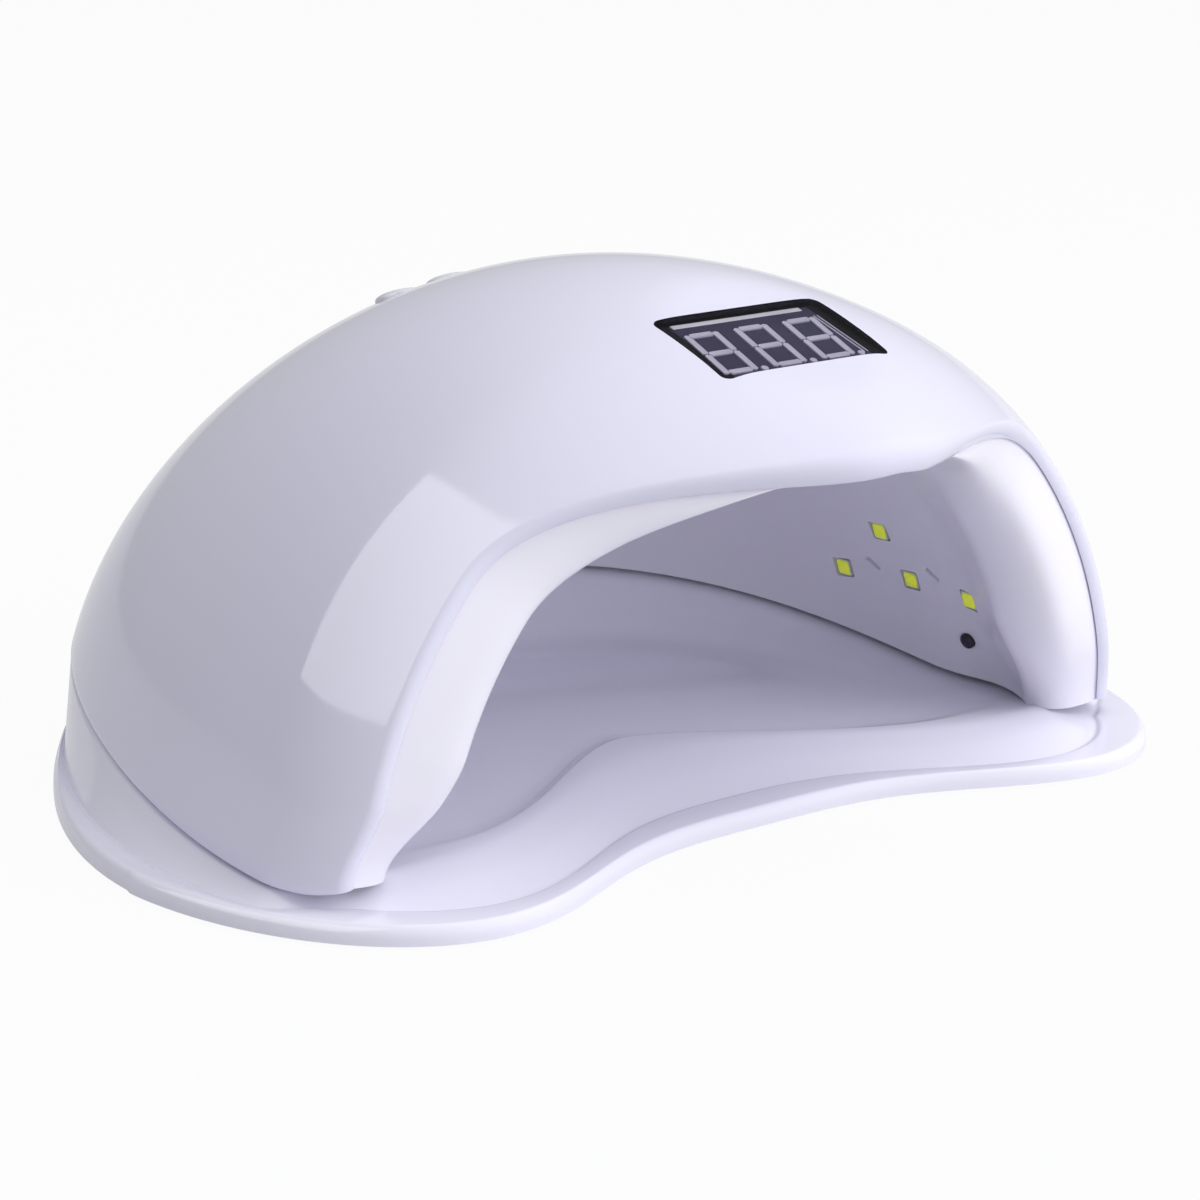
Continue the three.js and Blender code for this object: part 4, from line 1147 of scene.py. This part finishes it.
def shell_edge(share):
    y = FOOT_Y + TOE_BACK + (SHELL_REAR_Y - FOOT_Y - TOE_BACK) * np.sin(np.pi * share)
    places = dome_point(np.where(share < 0.5, 0.0, 1.0), y)
    places[np.isclose(share, 0.5), 0] = 0
    return places


def ray_reach(points, angle, closed=False):
    """How far a line of points lies from the tray's middle along one ray."""
    line = np.vstack([points, points[:1]]) if closed else points
    x, y = line[:, 0], line[:, 1] - TRAY_CENTRE_Y
    dx, dy = math.cos(angle), math.sin(angle)
    cross = dx * y - dy * x
    first, second = cross[:-1], cross[1:]
    crossing = (first * second <= 0) & (first != second)
    share = first[crossing] / (first[crossing] - second[crossing])
    hit_x = x[:-1][crossing] + (x[1:][crossing] - x[:-1][crossing]) * share
    hit_y = y[:-1][crossing] + (y[1:][crossing] - y[:-1][crossing]) * share
    reaches = hit_x * dx + hit_y * dy
    return max(0.0, float(reaches.max())) if len(reaches) else 0.0


SHELL_EDGE = shell_edge(np.linspace(0, 1, 1441))
LEFT_EDGE = liner_rows()[:, 0]
LINER_EDGE = np.vstack([LEFT_EDGE, LEFT_EDGE[::-1] * (-1, 1, 1)])


def tray_outline():
    tangent = unit(np.gradient(SHELL_EDGE[:, :2], axis=0))
    out = np.stack([-tangent[:, 1], tangent[:, 0]], axis=-1)
    full = BASE_WIDTH / 2 - DOME_HALF_WIDTH
    fade = smooth((SHELL_EDGE[:, 1] - WIDE_Y) / MARGIN_RUN)
    margin = full - (full - REAR_MARGIN) * fade
    rear = (SHELL_EDGE[:, :2] + out * margin[:, None])[SHELL_EDGE[:, 1] >= WIDE_Y]
    lobe_x = BASE_WIDTH / 2 - LOBE_HALF_WIDTH
    angle = np.linspace(0, np.pi / 2, LOBE_STEPS + 1)[1:]
    lobe = np.stack([lobe_x + LOBE_HALF_WIDTH * np.cos(angle),
                     WIDE_Y - LOBE_DEPTH * np.sin(angle)], axis=-1)
    share = np.linspace(1, 0, LOBE_STEPS + 1)[1:]
    fall = ((1 - np.cos(np.pi * share)) / 2) ** BAY_POWER
    bay = np.stack([lobe_x * share, BAY_Y - (BAY_Y - WIDE_Y + LOBE_DEPTH) * fall], axis=-1)
    right = np.vstack([lobe, bay])
    return np.vstack([rear, right, (right * (-1, 1))[-2::-1]])


def seat_ends(angle):
    """Reach of the seat's outer and inner ends along one ray, or nothing in the open front."""
    out_reach = ray_reach(SHELL_EDGE, angle)
    in_reach = ray_reach(LINER_EDGE, angle)
    return (out_reach, in_reach) if out_reach > 0 and in_reach > 0 else None


def rounded_line(points, radii, steps=5):
    """Rounds the corners of a line of (reach, z) points."""
    line = [points[0]]
    for i in range(1, len(points) - 1):
        before, corner, after = (np.array(points[i + k], dtype=float) for k in (-1, 0, 1))
        room = min(np.linalg.norm(before - corner), np.linalg.norm(after - corner)) * CORNER_ROOM
        cut = min(radii[i], room)
        start = corner + unit(before - corner) * cut
        end = corner + unit(after - corner) * cut
        for t in np.linspace(0, 1, steps):
            line.append((1 - t) ** 2 * start + 2 * t * (1 - t) * corner + t * t * end)
    line.append(points[-1])
    return np.array(line, dtype=float)


def wrapped_blur(values, weights, width):
    """Evens out values round the tray, only where the weights ask for it."""
    reach = int(4 * width)
    window = np.exp(-0.5 * (np.arange(-reach, reach + 1) / width) ** 2)
    window /= window.sum()
    wrapped = np.concatenate([values[-reach:], values, values[:reach]])
    soft = np.convolve(wrapped, window, mode="valid")
    return values * (1 - weights) + soft * weights


def deck_edge():
    """Where the flat deck ends and the front ramp starts."""
    share = np.linspace(-1, 1, 201)
    y = DECK_EDGE_Y - DECK_EDGE_DEPTH * np.abs(share) ** DECK_EDGE_POWER
    return np.stack([share * DECK_EDGE_HALF, y], axis=-1)


def tray_sections():
    """The sizes of the tray's section along each ray from its middle."""
    outline, front_line = tray_outline(), deck_edge()
    angles = 2 * np.pi * (np.arange(TRAY_RAYS) + 0.5) / TRAY_RAYS - np.pi / 2
    rim = np.array([ray_reach(outline, angle, True) for angle in angles])
    ends = [seat_ends(angle) for angle in angles]
    ramp_top = [ray_reach(front_line, angle) or reach - SLOPE_RUN
                for angle, reach in zip(angles, rim)]
    seats = [pair or (reach, reach - DECK_MARGIN) for pair, reach in zip(ends, ramp_top)]
    open_front = np.array([pair is None for pair in ends], dtype=float)
    near_front = wrapped_blur(open_front, 1, FRONT_BLUR)
    weight = smooth(near_front * FRONT_GAIN)
    seat_out, seat_in = (wrapped_blur(column, weight, SEAT_BLUR) for column in np.array(seats).T)
    seated_out = edge_z(TRAY_CENTRE_Y + seat_out * np.sin(angles)) - 2 * FIT_GAP
    seated_in = inner_edge_z(TRAY_CENTRE_Y + seat_in * np.sin(angles)) - FIT_GAP - SEAT_GAP
    height_out = seated_out + (FRONT_TOP_Z - seated_out) * near_front
    height_in = seated_in + (FRONT_TOP_Z - seated_in) * near_front
    return angles, rim, seat_out, seat_in, height_out, height_in, near_front


def tray_line(rim, seat_out, seat_in, out_top, in_top, front):
    """One section of the tray, from its middle over the rim and back underneath."""
    crease = max(rim - FLANGE_WIDTH, (rim + seat_out) / 2)
    middle = (seat_out + crease) / 2
    heel = min(seat_out + HEEL_PROUD, middle)
    heel += (middle - heel) * front
    heel_z = (CREASE_Z + out_top) / 2
    coves = [(seat_in * share, DECK_Z + (in_top - DECK_Z) * drop)
             for share, drop in zip(COVE_SHARES, COVE_DROP_SHARES)]

    def under(height):
        return max(height - TRAY_WALL, FLOOR_GAP)

    top = [(MIDDLE_RADIUS, DECK_Z), *coves[::-1], (seat_in, in_top), (seat_out, out_top),
           (heel, heel_z), (crease, CREASE_Z - CREASE_DIP), (crease + CREASE_WIDTH, CREASE_Z),
           (rim - FLANGE_SHOULDER, FLANGE_TOP), (rim, FLANGE_TOP - FLANGE_ROUND),
           (rim, FLOOR_GAP)]
    radii = [0, *COVE_RADII, SEAT_IN_RADIUS, SEAT_OUT_RADIUS + RAMP_TOP_RADIUS * front,
             HEEL_RADIUS, *CREASE_RADII, *FLANGE_RADII, 0]
    bottom = [(rim - FLANGE_EDGE, FLOOR_GAP), (crease - TRAY_WALL / 2, FLOOR_GAP),
              (heel - TRAY_WALL, under(heel_z)), (seat_out - TRAY_WALL, under(out_top)),
              (seat_in + TRAY_WALL, under(in_top)),
              *[(reach, z - TRAY_WALL) for reach, z in coves], (MIDDLE_RADIUS, DECK_Z - TRAY_WALL)]
    return np.vstack([rounded_line(top, radii), bottom])


def make_tray():
    angles, *columns = tray_sections()
    rows = []
    for angle, *sizes in zip(angles, *columns):
        line = tray_line(*sizes)
        rows.append(np.stack([line[:, 0] * math.cos(angle),
                              TRAY_CENTRE_Y + line[:, 0] * math.sin(angle), line[:, 1]], axis=-1))
    rows.append(rows[0])
    tray = sheet("tray_body", np.array(rows))

    def close_middles():
        bpy.ops.mesh.select_mode(type="EDGE")
        bpy.ops.mesh.select_all(action="DESELECT")
        bpy.ops.mesh.select_non_manifold()
        bpy.ops.mesh.edge_face_add()

    edit(tray, close_middles, select_all, turn_out)
    smooth_shade(tray, 50)
    dress(tray, BASE_GLOSS, "base", "base_plate")


def make_rim():
    """The band of the liner that rests over the tray."""
    rows = []
    for angle in np.radians(np.linspace(RIM_END_ANGLE, 180 - RIM_END_ANGLE, RIM_STEPS)):
        out_reach, in_reach = seat_ends(angle)
        width = out_reach - in_reach
        start = np.array([math.cos(angle), math.sin(angle)])
        row = []
        for distance in (SHELL_WALL + 2 * FIT_GAP, width - LINER_WALL / 2):
            reach = out_reach - distance
            y = TRAY_CENTRE_Y + reach * start[1]
            share = distance / width
            z_out = edge_z(TRAY_CENTRE_Y + out_reach * start[1])
            z_in = inner_edge_z(TRAY_CENTRE_Y + in_reach * start[1])
            row.append((reach * start[0], y, z_out + (z_in - z_out) * share))
        rows.append(row)
    rim = sheet("liner_rim", np.array(rows).transpose(1, 0, 2))
    modify(rim, "SOLIDIFY", thickness=RIM_WALL * MM, offset=0, use_even_offset=False)
    shift(rim, (0, 0, RIM_WALL / 2))
    edit(rim, turn_out)
    return rim


# Small hardware


def make_feet():
    for name in numbered("rubber_foot"):
        low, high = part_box(name)
        profile = [*RUBBER_FOOT_PROFILE, (RUBBER_FOOT_PROFILE[-1][0], high.z / MM)]
        foot = turned(name + "_pad", profile, 48)
        foot.data.transform(Matrix.Translation(((low.x + high.x) / 2, (low.y + high.y) / 2, 0)))
        smooth_shade(foot, 50)
        dress(foot, RUBBER, "base", name)


def make_socket():
    low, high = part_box("dc_socket")
    out = jack_frame(low.y / MM - SHIFT_Y)
    reach = (high.y - low.y) / MM
    body = block("socket_body", (high.x - low.x) / MM, JACK_BODY_LENGTH, (high.z - low.z) / MM)
    shift(body, (0, low.y / MM + JACK_BODY_LENGTH / 2, low.z / MM))
    collar_profile = [(JACK_COLLAR_RADIUS, JACK_COLLAR_START), *topped(JACK_COLLAR_CURVE, reach)]
    collar = set_in(turned("socket_collar", collar_profile), out)
    bore_profile = [(JACK_BORE, JACK_BORE_START), (JACK_BORE, reach + CUT_PAST)]
    bore = set_in(turned("socket_bore", bore_profile, 48), out)
    soften(body, JACK_ROUND, 2)
    combine(body, collar, "UNION")
    combine(body, bore, "DIFFERENCE")
    pin_profile = [(PIN_RADIUS, JACK_COLLAR_START), *topped(PIN_CURVE, reach - PIN_SUNK)]
    pin = set_in(turned("socket_pin", pin_profile, 32), out)
    socket = joined("power_socket", [made_of(body, SWITCH_BLACK), made_of(pin, NICKEL)])
    smooth_shade(socket, 35)
    dress(socket, SWITCH_BLACK, "housing", "dc_socket")


make_shell()
make_display()
make_buttons()
make_liner()
make_leds()
make_eyes()
make_tray()
make_feet()
make_socket()
repaint(BOARD, "display_board", "control_board", "led_board_left", "led_board_right",
        "led_board_top", "power_board")
repaint(SWITCH_BLACK, *numbered("tact_switch"))
repaint(ZINC, *numbered("board_screw", 2), *numbered("housing_screw"))
repaint(NICKEL, *numbered("housing_magnet"), *numbered("base_magnet"))

# Floor, light and camera

FLOOR_GLOW = 0.95
GLOW_IN_GLOSS = 0.6
WORLD_LEVEL = 0.475
WORLD_COLOUR = (0.975, 0.975, 0.98, 1)
PHOTO_SIDE = 1200
CAMERA_AIM = (0, -2.8, 0.5)


def make_floor():
    deselect()
    bpy.ops.mesh.primitive_plane_add(size=30)
    floor = named("studio_floor")
    finish = Finish("studio_paper", Roughness=0.7)
    paper = finish.noise(3, 2)
    finish.feed(Base_Color=finish.blend(paper, (0.55, 0.55, 0.58), (0.58, 0.58, 0.61)))
    path = finish.tree.nodes.new("ShaderNodeLightPath")
    glow = finish.node("ShaderNodeEmission", {}, {"Color": (1, 1, 1, 1), "Strength": 1.0})
    straight = Wire(finish, path.outputs["Is Camera Ray"])
    mirrored = Wire(finish, path.outputs["Is Glossy Ray"])
    share = finish.between(straight + mirrored * GLOW_IN_GLOSS, 0, 1, 0, FLOOR_GLOW)
    output = finish.tree.nodes["Material Output"]
    lit = Wire(finish, finish.surface.outputs[0])
    shown = finish.node("ShaderNodeMixShader", {}, {0: share, 1: lit, 2: glow})
    finish.tree.links.new(shown.socket, output.inputs["Surface"])
    floor.data.materials.append(finish.material)


def make_world():
    world = bpy.data.worlds.new("studio_air")
    bpy.context.scene.world = world
    world.use_nodes = True
    tree = world.node_tree
    background = tree.nodes["Background"]
    path = tree.nodes.new("ShaderNodeLightPath")
    level = tree.nodes.new("ShaderNodeMapRange")
    level.inputs["To Min"].default_value = WORLD_LEVEL
    level.inputs["To Max"].default_value = 1.0
    tree.links.new(path.outputs["Is Camera Ray"], level.inputs["Value"])
    tree.links.new(level.outputs["Result"], background.inputs["Strength"])
    background.inputs["Color"].default_value = WORLD_COLOUR


def lamp(name, power, width, length, where, toward, colour=(1, 1, 1), lights=True, shows=False):
    data = bpy.data.lights.new(name, "AREA")
    data.shape = "RECTANGLE"
    data.size, data.size_y, data.energy, data.color = width, length, power, colour
    piece = bpy.data.objects.new(name, data)
    bpy.context.collection.objects.link(piece)
    piece.location = where
    piece.rotation_euler = (Vector(toward) - Vector(where)).to_track_quat("-Z", "Y").to_euler()
    piece.visible_diffuse = lights
    piece.visible_glossy = shows


def make_camera():
    """The camera found from the photograph's outline, window corners and seams."""
    turn, rise, roll = 0.71472212, 0.26519217, 0.02146717
    distance, aside, up, zoom = 670.4015910, 4.8842180, 27.3590087, 5.63938429
    middle_x, middle_y = 604.067345, 598.731789
    level = math.cos(rise)
    ahead = Vector((math.sin(turn) * level, math.cos(turn) * level, -math.sin(rise)))
    right = Vector((math.cos(turn), -math.sin(turn), 0))
    above = right.cross(ahead)
    right, above = (right * math.cos(roll) + above * math.sin(roll),
                    above * math.cos(roll) - right * math.sin(roll))
    where = right * aside + above * up - ahead * distance + Vector(CAMERA_AIM)
    where.y += SHIFT_Y
    matrix = rays_matrix(where * MM, right, above, -ahead)
    data = bpy.data.cameras.new("studio_camera")
    data.sensor_width = 36
    data.lens = zoom * distance * data.sensor_width / PHOTO_SIDE
    data.shift_x = (PHOTO_SIDE / 2 - middle_x) / PHOTO_SIDE
    data.shift_y = (middle_y - PHOTO_SIDE / 2) / PHOTO_SIDE
    camera = bpy.data.objects.new("studio_camera", data)
    bpy.context.collection.objects.link(camera)
    camera.matrix_world = matrix
    bpy.context.scene.camera = camera


make_floor()
make_world()
lamp("key_light", 7, 0.9, 0.9, (0.7, -0.95, 0.65), (0, 0, 0.04))
lamp("front_light", 2.5, 0.8, 0.5, (0.1, -1.2, 0.35), (0, 0, 0.03))
lamp("top_light", 5.3, 0.9, 0.9, (0.25, -0.25, 1.1), (0, 0, 0.05))
lamp("soft_box", 6, 0.965, 0.624, (-0.551, 0.045, 0.551), (0.176, -0.084, 0.038),
     (0.96, 0.98, 1.0), lights=False, shows=True)
make_camera()
bpy.context.scene.view_settings.view_transform = "Standard"
